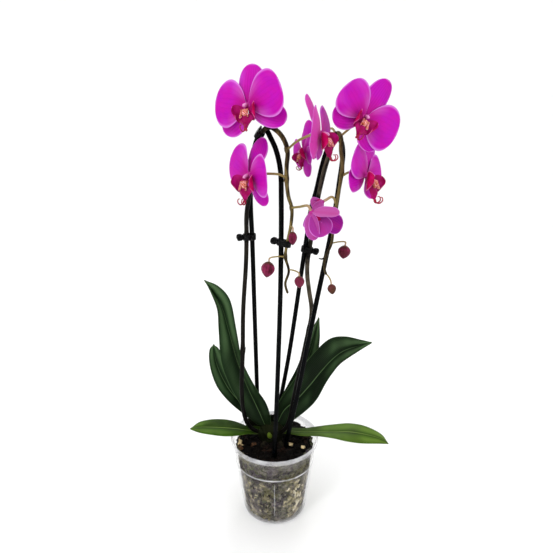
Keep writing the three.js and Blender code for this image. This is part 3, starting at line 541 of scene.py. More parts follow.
def leaf_finish(name, base, rib, painted_highlight_colour, back=False):
    """A waxy leaf with painted highlight bands along each half, painted sheen patches, and painted shade
    beside the midrib and at its foot.
    """
    paint = Paint(name, roughness=0.5 if back else 0.34, specular_ior_level=0.05)
    across, along = paint.uv()
    side = abs(across * 2 - 1)
    cloud = paint.grain(24, 2, stretch=(1, 1, 0.3))
    fine = paint.grain(260, 2)
    lines = ((across - 0.5) * 150 + cloud * 2).sine()
    # Painted highlight: pale bands along the middle of each half, with cloudy sheen, brighter towards the
    # tip.
    band = side.step(0.15, 0.5) * side.step(0.98, 0.6)
    painted_sheen = band * (cloud.step(0.35, 0.68) * 0.45 + along.step(0.45, 0.95) * 0.4)
    # Painted sheen and shade: cloudy patches lighter and darker than the leaf's own green.
    hue = paint.mix(cloud.step(0.3, 0.7), dimmed(base, 0.4), dimmed(base, 1.9))
    hue = paint.mix(painted_sheen + paint.tone(), hue, painted_highlight_colour)
    # Painted shade in the fold beside the midrib.
    hue = paint.mix(side.step(0.3, 0.03) * 0.6, hue, dimmed(base, 0.35))
    # Painted shade towards the leaf's foot.
    hue = paint.mix(along.step(0.5, 0.02) * 0.85, hue, dimmed(base, 0.25))
    hue = paint.mix(lines.step(0.2, 1.0) * 0.06, hue, rib)
    hue = paint.mix(side.step(0.05, 0.012) * (1 - along * 0.6) * 0.8, hue, rib)
    hue = paint.mix(side.step(0.955, 0.995) * 0.5, hue, rib)
    paint.colour(hue)
    paint.bump(lines * 0.4 + fine * 0.5 - side.step(0.05, 0.0) * 2, 0.22, 0.5)
    return paint.done()


def crown_finish():
    """Dry, dark leaf bases with fine lines along them."""
    paint = Paint("crown", roughness=0.75, specular_ior_level=0.03)
    patches = paint.grain(60, 3)
    across = paint.uv()[0]
    hue = paint.mix(patches.step(0.4, 0.7), hexed("060704"), hexed("12170a"))
    lines = (across * 120 + patches * 4).sine().step(0.2, 1.0)
    paint.colour(paint.mix(lines * 0.25, hue, hexed("33371d")))
    paint.bump(patches, 0.4, 0.8)
    return paint.done()


def stem_finish(colours, side, apex, dusk):
    """Near-black on the way up, mottled olive brown beyond the top of the arch, with a painted straw
    highlight down one side.

    apex is where along the stem that top lies, and dusk is how brown the way up is.
    """
    painted_highlight_straw, tip, fleck = hexed("a8935c"), hexed("1c1511"), hexed("120d0a")
    ink, ash = hexed("0b0908"), hexed("6e6554")
    paint = Paint(f"stem_{side}", roughness=0.4, specular_ior_level=0.06)
    across, along = paint.uv()
    patches = paint.grain(70, 4, stretch=(1, 1, 0.4), distortion=0.6)
    fine = paint.grain(420, 2, stretch=(1, 1, 0.12))
    # Painted highlight: straw-coloured patches down the lit side of the stem beyond the arch.
    painted_highlight_side = abs(across * 2 - 1).step(0.1, 0.8)
    beyond = paint.mix(patches.step(0.36, 0.62), colours.stem, colours.stem_green)
    beyond = paint.mix(painted_highlight_side * patches.step(0.42, 0.6) * 0.45, beyond, painted_highlight_straw)
    beyond = paint.mix(along.step(0.84, 0.99) * 0.75, beyond, tip)
    rising = paint.mix(along.step(0.15, 0.3) * patches.step(0.4, 0.6) * dusk, ink, ash)
    hue = paint.mix(along.step(apex - 0.05, apex + 0.04), rising, beyond)
    paint.colour(paint.mix(fine.step(0.5, 0.75) * 0.3, hue, fleck))
    paint.bump(fine, 0.25, 0.3)
    return paint.done()


def stalk_finish(colours):
    paint = Paint("pedicel", roughness=0.45)
    along = paint.uv()[1]
    hue = paint.mix(along.step(0.35, 1.0) * 0.6, colours.pedicel, hexed("c9a08e"))
    paint.colour(paint.mix(paint.grain(300, 2).step(0.5, 0.8) * 0.4, hue, colours.stem_green))
    return paint.done()


def bud_finish(colours):
    """A dusky bud with fine veins, greenish at its foot and darker at its tip."""
    blush, dusk = hexed("84244a"), hexed("2e0916")
    paint = Paint("bud", roughness=0.4, specular_ior_level=0.08)
    across, along = paint.uv()
    cloud = paint.grain(110, 3)
    veins = (across * 75 + cloud * 3).sine().step(0.3, 1.0)
    hue = paint.mix(cloud.step(0.35, 0.65), colours.bud, blush)
    hue = paint.mix(veins * 0.4, hue, dusk)
    hue = paint.mix((along.step(0.25, 0.0) * 0.7).most(paint.tone()), hue, colours.bud_base)
    hue = paint.mix(along.step(0.7, 1.0) * 0.4, hue, dusk)
    paint.colour(hue)
    paint.bump(veins + cloud, 0.3, 0.4)
    return paint.done()


def bark_finish(name, stops, grain_scale, contrast, tint=None):
    """Chips coloured by their tone and a coarse grain; tint(paint, hue) colours whole patches."""
    paint = Paint(name, roughness=0.85, specular_ior_level=0.08)
    tone = paint.tone()
    cloud = paint.grain(grain_scale, 4)
    fibre = paint.grain(260, 3, stretch=(1, 0.25, 1), distortion=0.4)
    hue = paint.node("ShaderNodeValToRGB", {"stops": stops}, {0: tone + (cloud - 0.5) * contrast})
    if tint:
        hue = tint(paint, hue)
    paint.colour(paint.mix(fibre.step(0.45, 0.8) * 0.45, hue, hexed("0a0807")))
    paint.bump(fibre + cloud, 0.6, 0.8)
    return paint.done()


def bark_on_top(colours):
    stops = ((0.0, hexed("050404")), (0.45, tuple(colours.bark)), (0.75, hexed("2b1d16")),
             (0.9, tuple(colours.bark_light)), (0.97, tuple(colours.bark_cream)))
    return bark_finish("bark_top", stops, 70, 0.35)


def bark_behind_wall(colours):
    """Damp chips: purplish and olive patches, algae and pale wood."""
    stops = ((0.05, hexed("08090b")), (0.24, hexed("37303a")), (0.38, tuple(colours.moss)),
             (0.54, hexed("6c6561")), (0.74, hexed("a59c74")), (0.94, hexed("e9e0cc")))

    def patches(paint, hue):
        purple, olive = hexed("6a5f6c"), hexed("6a6438")
        zone = paint.grain(45, 2)
        hue = paint.mix(zone.step(0.56, 0.66) * 0.4, hue, purple)
        return paint.mix(zone.step(0.46, 0.36) * 0.4, hue, olive)

    return bark_finish("bark_side", stops, 150, 1.3, patches)


def pot_finish(colours):
    """Clear plastic: see-through by its tone, hazed by mist and drops, paler and hazier where it turns away,
    partly from its longer path through the wall and partly as a painted reflection.
    """
    paint = Paint("pot", roughness=0.14, specular_ior_level=0.3)
    density = paint.tone()
    mist = paint.grain(55, 3)
    drops = paint.grain(600, 1)
    # Painted reflection, with real haze: where the wall turns away it is paler and less clear.
    edge = paint.node("ShaderNodeLayerWeight", {}, {"Blend": 0.5}, output=1).step(0.7, 1.0)
    paint.colour(paint.mix(edge.most(density.step(0.1, 0.3)), tuple(colours.pot), hexed("eeeef2")))
    haze = density * mist.step(0.25, 0.8, 0.5, 1.6) + drops.step(0.62, 0.7) * 0.05 + edge * 0.4
    paint.feed(paint.shader.inputs["Alpha"], haze.least(0.97))
    paint.bump(mist, 0.08, 0.5)
    return paint.done()


# ---------------------------------------------------------------- pot
BEAD_HALF, BEAD_RISE, BEAD_SHOULDER = 1.6, 0.8, 0.55
SLOT_NEAR, SLOT_FAR = 20.8, 27.2

# The rim band's outline: how far in from the rim, with its height over the band's foot or under its top.
RIM_BAND = ((0.9, -0.1), (0.25, 0.5), (0.1, 2.2), (0.55, 3), (0.1, 3.8))
RIM_EDGE = ((0, 0.9), (0.8, 0), (1.9, 0.2), (2.4, 1))

# How dense the haze of the clear wall is, from 0 to 1.
WALL_HAZE, RIM_HAZE, BEAD_HAZE, FOOT_HAZE, RIB_HAZE = 0.032, 0.34, 0.5, 0.6, 0.3


def wall_radius(size, height):
    run = size.pot_height - size.rim_height
    return size.foot_radius + (size.neck_radius - size.foot_radius) * height / run


def foot_arc(size, inset, steps):
    """The rounded foot, from the flat base up to where the wall's line starts."""
    lean = math.atan((size.neck_radius - size.foot_radius) / (size.pot_height - size.rim_height))
    centre = size.foot_radius - size.foot_round / math.cos(lean) + size.foot_round * math.tan(lean)
    radius = size.foot_round - inset
    return [(centre + radius * math.cos(a), size.foot_round + radius * math.sin(a))
            for a in (-math.pi / 2 + (math.pi / 2 - lean) * i / steps for i in range(steps + 1))]


class ORCHID_OT_pot(bpy.types.Operator):
    """Models the clear pot with its rim, bead, ribs and drain slots"""

    bl_idname = "orchid.pot"
    bl_label = "Pot"

    def execute(self, context):
        size, colours = in_millimetres(context), context.scene.orchid_colours
        shape = Shape()
        verts = shape.spun(self.outside(size) + self.inside(size), 96)
        self.densities(shape, size, verts)
        self.drain_slots(shape, size)
        self.ribs(shape, size)
        shape.piece("pot_clear", [pot_finish(colours)], "pot")
        return {"FINISHED"}

    @staticmethod
    def outside(size):
        """From the middle of the base up to the top of the rim."""
        bead, at_bead = size.bead_height, wall_radius(size, size.bead_height)
        rim_foot = size.pot_height - size.rim_height
        points = [(0, 0), (SLOT_NEAR, 0), (SLOT_FAR, 0), *foot_arc(size, 0, 8)]
        points += [(wall_radius(size, bead - BEAD_HALF), bead - BEAD_HALF),
                   (at_bead + BEAD_SHOULDER, bead - BEAD_HALF / 2), (at_bead + BEAD_RISE, bead),
                   (at_bead + BEAD_SHOULDER, bead + BEAD_HALF / 2),
                   (wall_radius(size, bead + BEAD_HALF), bead + BEAD_HALF)]
        points += [(size.neck_radius - 0.1, rim_foot - 1.4), (size.neck_radius + 0.5, rim_foot - 0.7)]
        points += [(size.rim_radius - inset, rim_foot + rise) for inset, rise in RIM_BAND]
        points += [(size.rim_radius - inset, size.pot_height - drop) for inset, drop in RIM_EDGE]
        return points

    @staticmethod
    def inside(size):
        """From inside the rim down to the middle of the floor."""
        rim_foot = size.pot_height - size.rim_height
        points = [(size.rim_radius - 2.6, rim_foot + 1.8),
                  (size.neck_radius - size.wall + 0.4, rim_foot - 0.2)]
        points += [(wall_radius(size, height) - size.wall, height) for height in (92, 70, 50, 30)]
        points += reversed(foot_arc(size, size.wall, 6))
        points += [(SLOT_FAR, size.wall), (SLOT_NEAR, size.wall), (0, size.wall)]
        return points

    @staticmethod
    def densities(shape, size, verts):
        """The haze is thicker at the rim, the bead and the foot."""
        rim_foot = size.pot_height - size.rim_height
        for vert in verts:
            height = vert.co.z
            vert[shape.tone] = max(
                WALL_HAZE,
                RIM_HAZE * smooth(rim_foot - 1.5, rim_foot + 0.5, height),
                BEAD_HAZE * smooth(1.7, 0.6, abs(height - size.bead_height)),
                FOOT_HAZE * smooth(size.foot_round + 1, 0, height))

    @staticmethod
    def drain_slots(shape, size):
        """Cuts the slots through the floor and walls them round."""
        count, half_width = 6, math.radians(8)
        for i in range(count):
            turn = math.tau * i / count
            doomed = []
            for face in shape.bm.faces:
                middle = face.calc_center_median()
                spread = (math.atan2(middle.y, middle.x) - turn + math.pi) % math.tau - math.pi
                on_floor = middle.z < size.wall + 0.1 and SLOT_NEAR < middle.xy.length < SLOT_FAR
                if on_floor and abs(spread) < half_width:
                    doomed.append(face)
            rims = {edge for face in doomed for edge in face.edges
                    if sum(linked in doomed for linked in edge.link_faces) == 1}
            bmesh.ops.delete(shape.bm, geom=doomed, context="FACES")
            bmesh.ops.bridge_loops(shape.bm, edges=[edge for edge in rims if edge.is_valid])

    @staticmethod
    def ribs(shape, size):
        count, radius, out = 6, 0.55, 0.1
        low, high = 20, size.bead_height - 6
        for i in range(count):
            turn = math.tau * (i + 0.5) / count
            side = Vector((math.cos(turn), math.sin(turn), 0))
            points = [side * (wall_radius(size, height) + out) + Vector((0, 0, height))
                      for height in (low, (low + high) / 2, high)]
            shape.bar(points, lambda u, c: radius * math.sin(math.pi * min(max(u, 0.02), 0.98)) ** 0.3,
                      sides=8, steps=12, tone=RIB_HAZE)


# ---------------------------------------------------------------- bark mix
# Pale chips on top: place, tone and turn.
PALE_CHIPS = ((22.5, -8, 0.98, 1.5), (38.5, -14, 0.95, 1.2), (-47, 1, 0.99, 1.2), (-46, -7, 0.96, 0.9),
              (-45, -14, 0.85, 0.4), (-29, -10, 0.8, 2.1))
PALE_CHIP_SIZES = (8, 5, 3.6)
GOLDEN_TURN = 2.39996


def bark_height(size, x, y):
    """How high the mix stands: a little higher in the middle and heaped up behind on the right."""
    middle = 5 * math.exp(-((x + 2) ** 2 + (y - 6) ** 2) / 900)
    heap = 6 * math.exp(-((x - 36) ** 2 + (y - 26) ** 2) / 350)
    return size.soil_level - 3 + middle + heap + 1.4 * math.sin(x * 0.31 + 1) * math.cos(y * 0.27)


class ORCHID_OT_bark(bpy.types.Operator):
    """Models the bark mix: a dark core with chips heaped on top and pressed against the wall"""

    bl_idname = "orchid.bark"
    bl_label = "Bark mix"

    def execute(self, context):
        size, colours = in_millimetres(context), context.scene.orchid_colours
        draw = random.Random(11)
        shape = Shape()
        self.core(shape, size)
        self.wall_chips(shape, size, draw)
        self.top_chips(shape, size, draw)
        shape.piece("bark_chips", [bark_on_top(colours), bark_behind_wall(colours)], "bark_mix")
        return {"FINISHED"}

    @staticmethod
    def core(shape, size):
        """The mass behind the chips, with its top a little under theirs."""
        inset, bottom, top, under = size.wall + 5.6, 2.2, 99, 1.5
        levels = (4, 10, 24, 40, 56, 72, 88, 98)
        profile = [(0, bottom), (34, bottom), *((wall_radius(size, h) - inset, h) for h in levels)]
        profile += [(radius, top) for radius in (44, 30, 15, 0)]
        for vert in shape.spun(profile, 48, tone=0.1):
            if vert.co.z > top - 0.5:
                vert.co.z = bark_height(size, vert.co.x, vert.co.y) - under

    @staticmethod
    def chip(shape, draw, sizes, place, slot, tone):
        """A block with each corner moved by a random amount."""
        for vert in shape.slab(sizes, place, slot=slot, tone=tone):
            shift = Vector((draw.uniform(-1, 1), draw.uniform(-1, 1), draw.uniform(-1, 1)))
            vert.co += shift * min(sizes) * 0.28

    def wall_chips(self, shape, size, draw):
        """Rows of chips that lie flat against the wall."""
        rows, per_row, lowest, wall_lean = 26, 46, 4.5, math.radians(7)
        for row in range(rows):
            for i in range(per_row):
                height = lowest + (size.soil_level - 3.5) * (row + draw.uniform(0.1, 0.9)) / rows
                turn = math.tau * (i + draw.uniform(-0.45, 0.45)) / per_row
                thick = draw.uniform(2.6, 3.8)
                radius = wall_radius(size, height) - size.wall - thick * 0.5 - draw.uniform(2.0, 3.2)
                radius -= 2.6 * smooth(size.foot_round + 6, size.foot_round - 2, height)
                tone = self.wall_tone(radius * math.cos(turn), radius * math.sin(turn), height, draw)
                tilt = Matrix.Rotation(draw.uniform(-0.14, 0.14), 4, "X") @ Matrix.Rotation(
                    draw.uniform(-0.16, 0.16), 4, "Y")
                place = (Matrix.Rotation(turn, 4, "Z") @ Matrix.Translation((radius, 0, height))
                         @ Matrix.Rotation(wall_lean, 4, "Y") @ tilt
                         @ Matrix.Rotation(draw.uniform(0, math.pi), 4, "X"))
                sizes = (thick, draw.uniform(4, 10), draw.uniform(3, 5.6))
                self.chip(shape, draw, sizes, place, 1, tone)

    @staticmethod
    def wall_tone(x, y, height, draw):
        """Even and dim near the top, dark in the middle of the front, pale to its right and low down."""
        calm = smooth(60, 84, height)
        front = smooth(0, -30, y)
        dark = front * math.exp(-((x - 2) / 11) ** 2)
        pale = front * math.exp(-((x - 30) / 13) ** 2) + 0.4 * smooth(26, 12, height)
        middle = 0.44 - 0.2 * dark + 0.14 * pale
        return (middle + draw.uniform(-0.3, 0.3)) * (1 - calm) + (0.34 + draw.uniform(-0.08, 0.08)) * calm

    def top_chips(self, shape, size, draw):
        """Chips laid out in a sunflower's spiral, heaped up along the back, and a few pale ones."""
        count, reach_of_all, back_heap = 420, 48.5, 8.0
        for i in range(count):
            reach = math.sqrt((i + 0.5) / count) * reach_of_all
            turn = i * GOLDEN_TURN + draw.uniform(-0.2, 0.2)
            x, y = reach * math.cos(turn), reach * math.sin(turn)
            height = bark_height(size, x, y) + draw.uniform(-1.6, 1.5)
            height += back_heap * math.exp(-((x + 4) / 44) ** 2 - ((y - 46) / 14) ** 2)
            place = (Matrix.Translation((x, y, height)) @ Matrix.Rotation(draw.uniform(0, math.tau), 4, "Z")
                     @ Matrix.Rotation(draw.uniform(-0.5, 0.5), 4, "X")
                     @ Matrix.Rotation(draw.uniform(-0.45, 0.45), 4, "Y"))
            sizes = (draw.uniform(5, 11), draw.uniform(3.5, 7), draw.uniform(2.2, 4.5))
            self.chip(shape, draw, sizes, place, 0, draw.betavariate(1.5, 3.2) * 0.85)
        for x, y, tone, turn in PALE_CHIPS:
            place = (Matrix.Translation((x, y, bark_height(size, x, y) + 3.2)) @ Matrix.Rotation(turn, 4, "Z")
                     @ Matrix.Rotation(0.9, 4, "Y"))
            self.chip(shape, draw, PALE_CHIP_SIZES, place, 0, tone)


# ---------------------------------------------------------------- crown
CROWN_CENTRE, CROWN_RADII = (-4, 5, 117), (17.6, 10.6, 14.6)
ROOTS = (
    ((-6, 2, 110), (-17, -8, 103), (-27, -18, 97), (-34, -24, 84)),
    ((2, 2, 110), (11, -9, 103), (20, -20, 97), (26, -28, 84)),
    ((4, 9, 110), (18, 20, 105), (28, 28, 98), (34, 32, 84)),
)
SHOOT = ((-6, -3, 114), (-7, -7, 118), (-7.5, -9, 122), (-7.5, -9, 124.5))
SHOOT_RADIUS = 3.4

# The dry bases of old leaves: foot, tip, half width, and how far their edges bend back.
SHEATHS = (
    ((-8, 8, 110), (-38, 11, 131), 10.0, 2.0),
    ((-3, 9, 114), (-3, 11, 139), 8.0, 2.0),
    ((6, 9, 112), (20, 15, 131), 6.0, 2.0),
    ((-10, -5, 106), (-21, -3.5, 124), 7.5, 5.0),
    ((2, -6, 105), (7, -6.5, 123), 7.0, 5.0),
    ((-3, -7.5, 104), (-5, -7, 115), 6.5, 5.0),
)


class ORCHID_OT_crown(bpy.types.Operator):
    """Models the crown with its leaf bases and the roots that go into the mix"""

    bl_idname = "orchid.crown"
    bl_label = "Crown"

    def execute(self, context):
        shape = Shape()
        shape.ball(CROWN_CENTRE, CROWN_RADII, fineness=4)
        for route in ROOTS:
            shape.bar(route, lambda u, c: 3.0 - 0.5 * u + 0.2 * math.sin(31 * u), sides=14, steps=30, slot=1)
        for low, high, half, bend in SHEATHS:
            shape.blade(self.sheath(Vector(low), Vector(high), half, bend), 16, 8, lambda u, v: 1.2, 0, 0)
        shape.bar(SHOOT, lambda u, c: SHOOT_RADIUS * math.sqrt(max(0.03, 1 - u ** 2)),
                  sides=14, steps=14, slot=2)
        materials = [crown_finish(), plain_finish("root", hexed("1f1c13"), 0.8, specular_ior_level=0.08),
                     plain_finish("shoot", hexed("52661a"), 0.5, specular_ior_level=0.15)]
        shape.piece("crown_roots", materials, "crown")
        return {"FINISHED"}

    @staticmethod
    def sheath(low, high, half, bend):
        """A blade from low to high, widest at its foot and rounded at its tip."""
        across = (high - low).cross(Vector((0, 1, 0))).normalized()

        def place(u, v):
            width = half * (1.2 - 0.4 * u) * math.sqrt(1 - max(0.0, (u - 0.6) / 0.42) ** 2)
            return low.lerp(high, u) + across * (width * v) + Vector((0, bend * v * v, 0))

        return place


# ---------------------------------------------------------------- leaves
# Each leaf's left edge, midrib and right edge, from its foot to its tip.
LEAVES = (
    {"slot": "leaf",
     "left": ((-23, 2, 129), (-37, -1, 145), (-49, 2, 166), (-61, 5, 189), (-71, 7, 222), (-73, 8, 268),
              (-74, 9, 295), (-81, 10, 317), (-89, 15, 333)),
     "rib": ((-13, 4, 127), (-19, 5, 143), (-27, 8, 161), (-37, 11, 184), (-50, 13, 222), (-60, 14, 264),
             (-68, 15, 296), (-79, 16, 316), (-90, 17, 333)),
     "right": ((-5, 1, 129), (-6, -5, 149), (-12, -2, 167), (-26, 1, 189), (-42, 3, 225), (-49, 4, 268),
               (-56, 5, 309), (-70, 6, 328), (-89, 14, 334))},
    {"slot": "leaf",
     "left": ((-26, 12, 124), (-43, 14, 138), (-63, 19, 154), (-79, 23, 174), (-87, 26, 195),
              (-90, 28, 214), (-89, 30, 229), (-84, 32, 235)),
     "rib": ((-18, 13, 121), (-30, 18, 133), (-46, 23, 149), (-62, 27, 167), (-74, 30, 189),
             (-81, 32, 210), (-83, 32.6, 226), (-83.4, 33, 235.6)),
     "right": ((-9, 12, 127), (-18, 14, 145), (-30, 19, 161), (-44, 23, 179), (-57, 26, 200),
               (-69, 28, 219), (-77, 30.6, 231), (-82.8, 32, 235))},
    {"slot": "leaf",
     "left": ((-2, 6, 134), (7, 4, 165), (22, 5, 190), (38, 7, 216), (55, 9, 238), (73, 9, 255),
              (92, 7, 259), (113, 3, 256), (126, 2, 253)),
     "rib": ((3, 8, 126), (13, 9, 148), (31, 10, 165), (48, 12, 185), (61, 14, 202), (76, 14, 221),
             (92, 12, 236), (113, 8, 246), (127, 4, 252)),
     "right": ((13, 6, 124), (29, 3, 138), (46, 4, 153), (58, 6, 167), (69, 8, 189), (78, 8, 205),
               (89, 6, 221), (109, 2, 239), (126, 2, 251))},
    {"slot": "leaf",
     "left": ((-5, 13, 126), (6, 17, 156), (17, 21, 178), (29, 23, 202), (37, 24, 225), (44, 25, 251),
              (58, 27, 276)),
     "rib": ((0, 14, 121), (10, 20, 146), (23, 24, 167), (36, 26, 188), (44, 27, 212), (52, 28, 240),
             (59, 28, 277)),
     "right": ((9, 13, 121), (21, 17, 143), (37, 21, 164), (49, 23, 189), (57, 24, 213), (61, 25, 246),
               (60, 27, 276))},
    {"slot": "young_leaf",
     "left": ((-14, 1, 117), (-24, -2, 117), (-38, -5, 119), (-52, -12, 121), (-67, -16, 123),
              (-85, -17, 126), (-102, -12, 126), (-115, -2, 124)),
     "rib": ((-14, 4, 119), (-24, 3, 119), (-38, 2, 120), (-53, 1, 123), (-68, 0, 125), (-87, 0, 126),
             (-104, 0, 126), (-116, 0, 124)),
     "right": ((-14, 8, 121), (-24, 9, 122), (-38, 9, 123), (-54, 13, 127), (-70, 17, 128),
               (-89, 17, 128), (-105, 12, 127), (-115, 2, 124))},
    {"slot": "young_leaf",
     "left": ((8, 7, 121), (21, 7, 121), (41, 8, 120), (61, 11, 121), (83, 14, 122), (106, 15, 123),
              (128, 12, 120), (148, 4, 113), (155, -7, 107)),
     "rib": ((8, 3, 119), (21, 2, 119), (39, 1, 118), (60, 0, 119), (82, -1, 119), (102, -2, 120),
             (122, -4, 118), (143, -6, 113), (156, -8, 106)),
     "right": ((8, -1, 118), (21, -3, 118), (37, -6, 117), (58, -10, 119), (79, -15, 119), (97, -19, 117),
               (117, -19, 114), (139, -14, 110), (155, -9, 106))},
)

# How much more of the painted highlight colour a leaf takes than the rest, which makes it paler.
LEAF_TONES = {5: -0.2, 6: 0.3}


def leaf_surface(leaf):
    """Each half goes from the midrib to its edge, bulging a little towards the front and up."""
    curves = [Route(leaf[edge], centripetal=False) for edge in ("left", "rib", "right")]

    def place(u, v):
        left, middle, right = [curve.at(u) for curve in curves]
        edge = left if v < 0 else right
        share = abs(v)
        bulge = 0.25 * share * (1 - share) * (edge - middle).length
        return middle.lerp(edge, share) + Vector((0, -0.6 * bulge, 0.4 * bulge))

    return place


class ORCHID_OT_leaves(bpy.types.Operator):
    """Models the strap leaves, folded along their midribs"""

    bl_idname = "orchid.leaves"
    bl_label = "Leaves"

    def execute(self, context):
        size, colours = in_millimetres(context), context.scene.orchid_colours
        # The last colour of each finish is its painted highlight colour.
        faces = {
            "leaf": leaf_finish("leaf_face", tuple(colours.leaf), tuple(colours.leaf_rib), hexed("56734a")),
            "young_leaf": leaf_finish("young_leaf_face", tuple(colours.young_leaf), hexed("8aa650"),
                                      hexed("5a752b")),
        }
        backs = {
            "leaf": leaf_finish("leaf_back", hexed("28401c"), hexed("5d7a4c"), hexed("4a6640"), back=True),
            "young_leaf": leaf_finish("young_leaf_back", hexed("47681f"), hexed("8aa858"), hexed("7f9a4a"),
                                      back=True),
        }
        for number, leaf in enumerate(LEAVES, 1):
            slot = leaf["slot"]
            shape = Shape()
            shape.blade(leaf_surface(leaf), 72, 22,
                        lambda u, v: size.leaf_thickness * (1.05 - 0.55 * abs(v)),
                        tone=LEAF_TONES.get(number, 0.0))
            shape.piece(f"leaf_blade_{number}", [faces[slot], backs[slot]], f"leaf_{number}")
        return {"FINISHED"}


# ---------------------------------------------------------------- hoops
# Each wire's route, from its back foot over the top to its front foot.
HOOPS = {
    "left": ((-20, 28, 32), (-24, 38, 100), (-25, 37, 163), (-27, 30, 301), (-28, 22, 385),
              (-29, 15, 436), (-26, 8, 484), (-20, 3, 507), (-15, -2, 516), (-9, -7, 518), (-4, -11, 510),
              (2, -15, 497), (7, -19, 475), (8, -24, 442), (8, -28, 396), (7, -31, 323), (3, -33, 189),
              (0, -33, 103), (0, -29, 32)),
    "right": ((-3, 28, 32), (-1, 34, 99), (8, 34, 148), (19, 32, 215), (28, 29, 284), (34, 26, 334),
               (41, 22, 391), (45, 19, 423), (51, 16, 448), (57, 12, 478), (62, 9, 496), (67, 5, 506),
               (72, 0, 511), (76, -6, 506), (78, -10, 494), (77, -13, 479), (75, -15, 464),
               (72, -16, 438), (67, -17, 403), (61, -18, 369), (53, -18, 324), (42, -17, 259),
               (29, -16, 181), (20, -15, 134), (15, -13, 103), (14, -11, 32)),
}


class ORCHID_OT_hoops(bpy.types.Operator):
    """Models the two coated wire hoops"""

    bl_idname = "orchid.hoops"
    bl_label = "Hoops"

    def execute(self, context):
        size, colours = in_millimetres(context), context.scene.orchid_colours
        paint = Paint("wire", roughness=0.16, specular_ior_level=0.045)
        paint.colour(tuple(colours.wire))
        paint.bump(paint.grain(90, 2), 0.12, 0.6)
        for side, route in HOOPS.items():
            shape = Shape()
            shape.bar(route, lambda u, c: size.hoop_radius, sides=20, steps=220)
            shape.piece(f"hoop_wire_{side}", [paint.done()], f"hoop_{side}")
        return {"FINISHED"}


# ---------------------------------------------------------------- flower spikes
# Each stem's route from the crown to its tip, its nodes, where along it the top of its arch lies, how brown
# it is on the way up, and its dead side shoots.
SPIKES = {
    "left": {
        "route": ((-21, 1, 118), (-31, -2, 126), (-38, -6, 140), (-42, -10, 163), (-43, -11, 192),
                  (-41, -5, 245), (-40, 4, 296), (-36, 16, 357), (-35, 20, 390), (-34, 12, 418),
                  (-29, 3, 450), (-25, -3, 485), (-20, -7, 507), (-12, -12, 518), (-5, -16, 522),
                  (5, -18, 516), (12, -19, 506), (15, -20, 495), (14, -22, 480), (14, -25, 464),
                  (16, -28, 447), (20, -30, 433), (19, -31, 414), (15, -30, 393), (13, -31, 377),
                  (17, -33, 360), (13, -35, 345), (16, -36, 333)),
        "nodes": ((-41, -5, 245), (-35, 20, 390), (13, -31, 377), (14, -24, 466)),
        "apex": 0.52,
        "dusk": 0.1,
        "spurs": (),
    },
    "right": {
        "route": ((10, 0, 119), (15, -3, 127), (20, -5, 142), (24, -6, 166), (29, -7, 196), (40, -8, 256),
                  (47, -4, 297), (44, 6, 322), (42, 14, 338), (42, 20, 354), (44, 22, 371), (48, 19, 398),
                  (51, 15, 426), (55, 11, 451), (60, 6, 476), (65, 2, 495), (68, -3, 508), (72, -8, 515),
                  (75, -12, 510), (75, -16, 497), (77, -19, 481), (76, -21, 468), (72, -22, 441),
                  (69, -22, 416), (67, -23, 391), (60, -24, 373), (60, -24, 359), (62, -25, 353)),
        "nodes": ((46, -6, 275), (44, 22, 371), (75, -20, 472), (60, -24, 373)),
        "apex": 0.63,
        "dusk": 0.7,
        "spurs": (((60, -24, 374), (56, -25, 372.5), (52.5, -25.5, 373.5)),),
    },
}


NODE_SWELL, NODE_REACH = 0.8, 4


def stem_radius(size, u, centre, nodes):
    """Thinner beyond the arch, rounded at its very tip and swollen round each node."""
    plain = size.stem_radius + (size.stem_tip_radius - size.stem_radius) * smooth(0.5, 1, u)
    plain *= math.sqrt(1 - max(0.0, (u - 0.994) / 0.00602) ** 2)
    swell = sum(math.exp(-((centre - Vector(node)).length / NODE_REACH) ** 2) for node in nodes)
    return plain + NODE_SWELL * swell


# ---------------------------------------------------------------- blooms
# flare and round shape a tepal's outline at its foot and tip, curl bends it back towards its tip in degrees,
# cup hollows it, and layer is how far in front of the others it starts.
SEPAL_FORM = {"flare": 0.6, "round": 0.5, "curl": -12, "cup": 0.22, "layer": -1, "twist": 0}
PETAL_FORM = {"flare": 0.75, "round": 0.48, "curl": -10, "cup": 0.12, "layer": 1.4, "twist": 0}
HUB_RADIUS, HUB_DEPTH = 4.2, 0.85 * 4.2

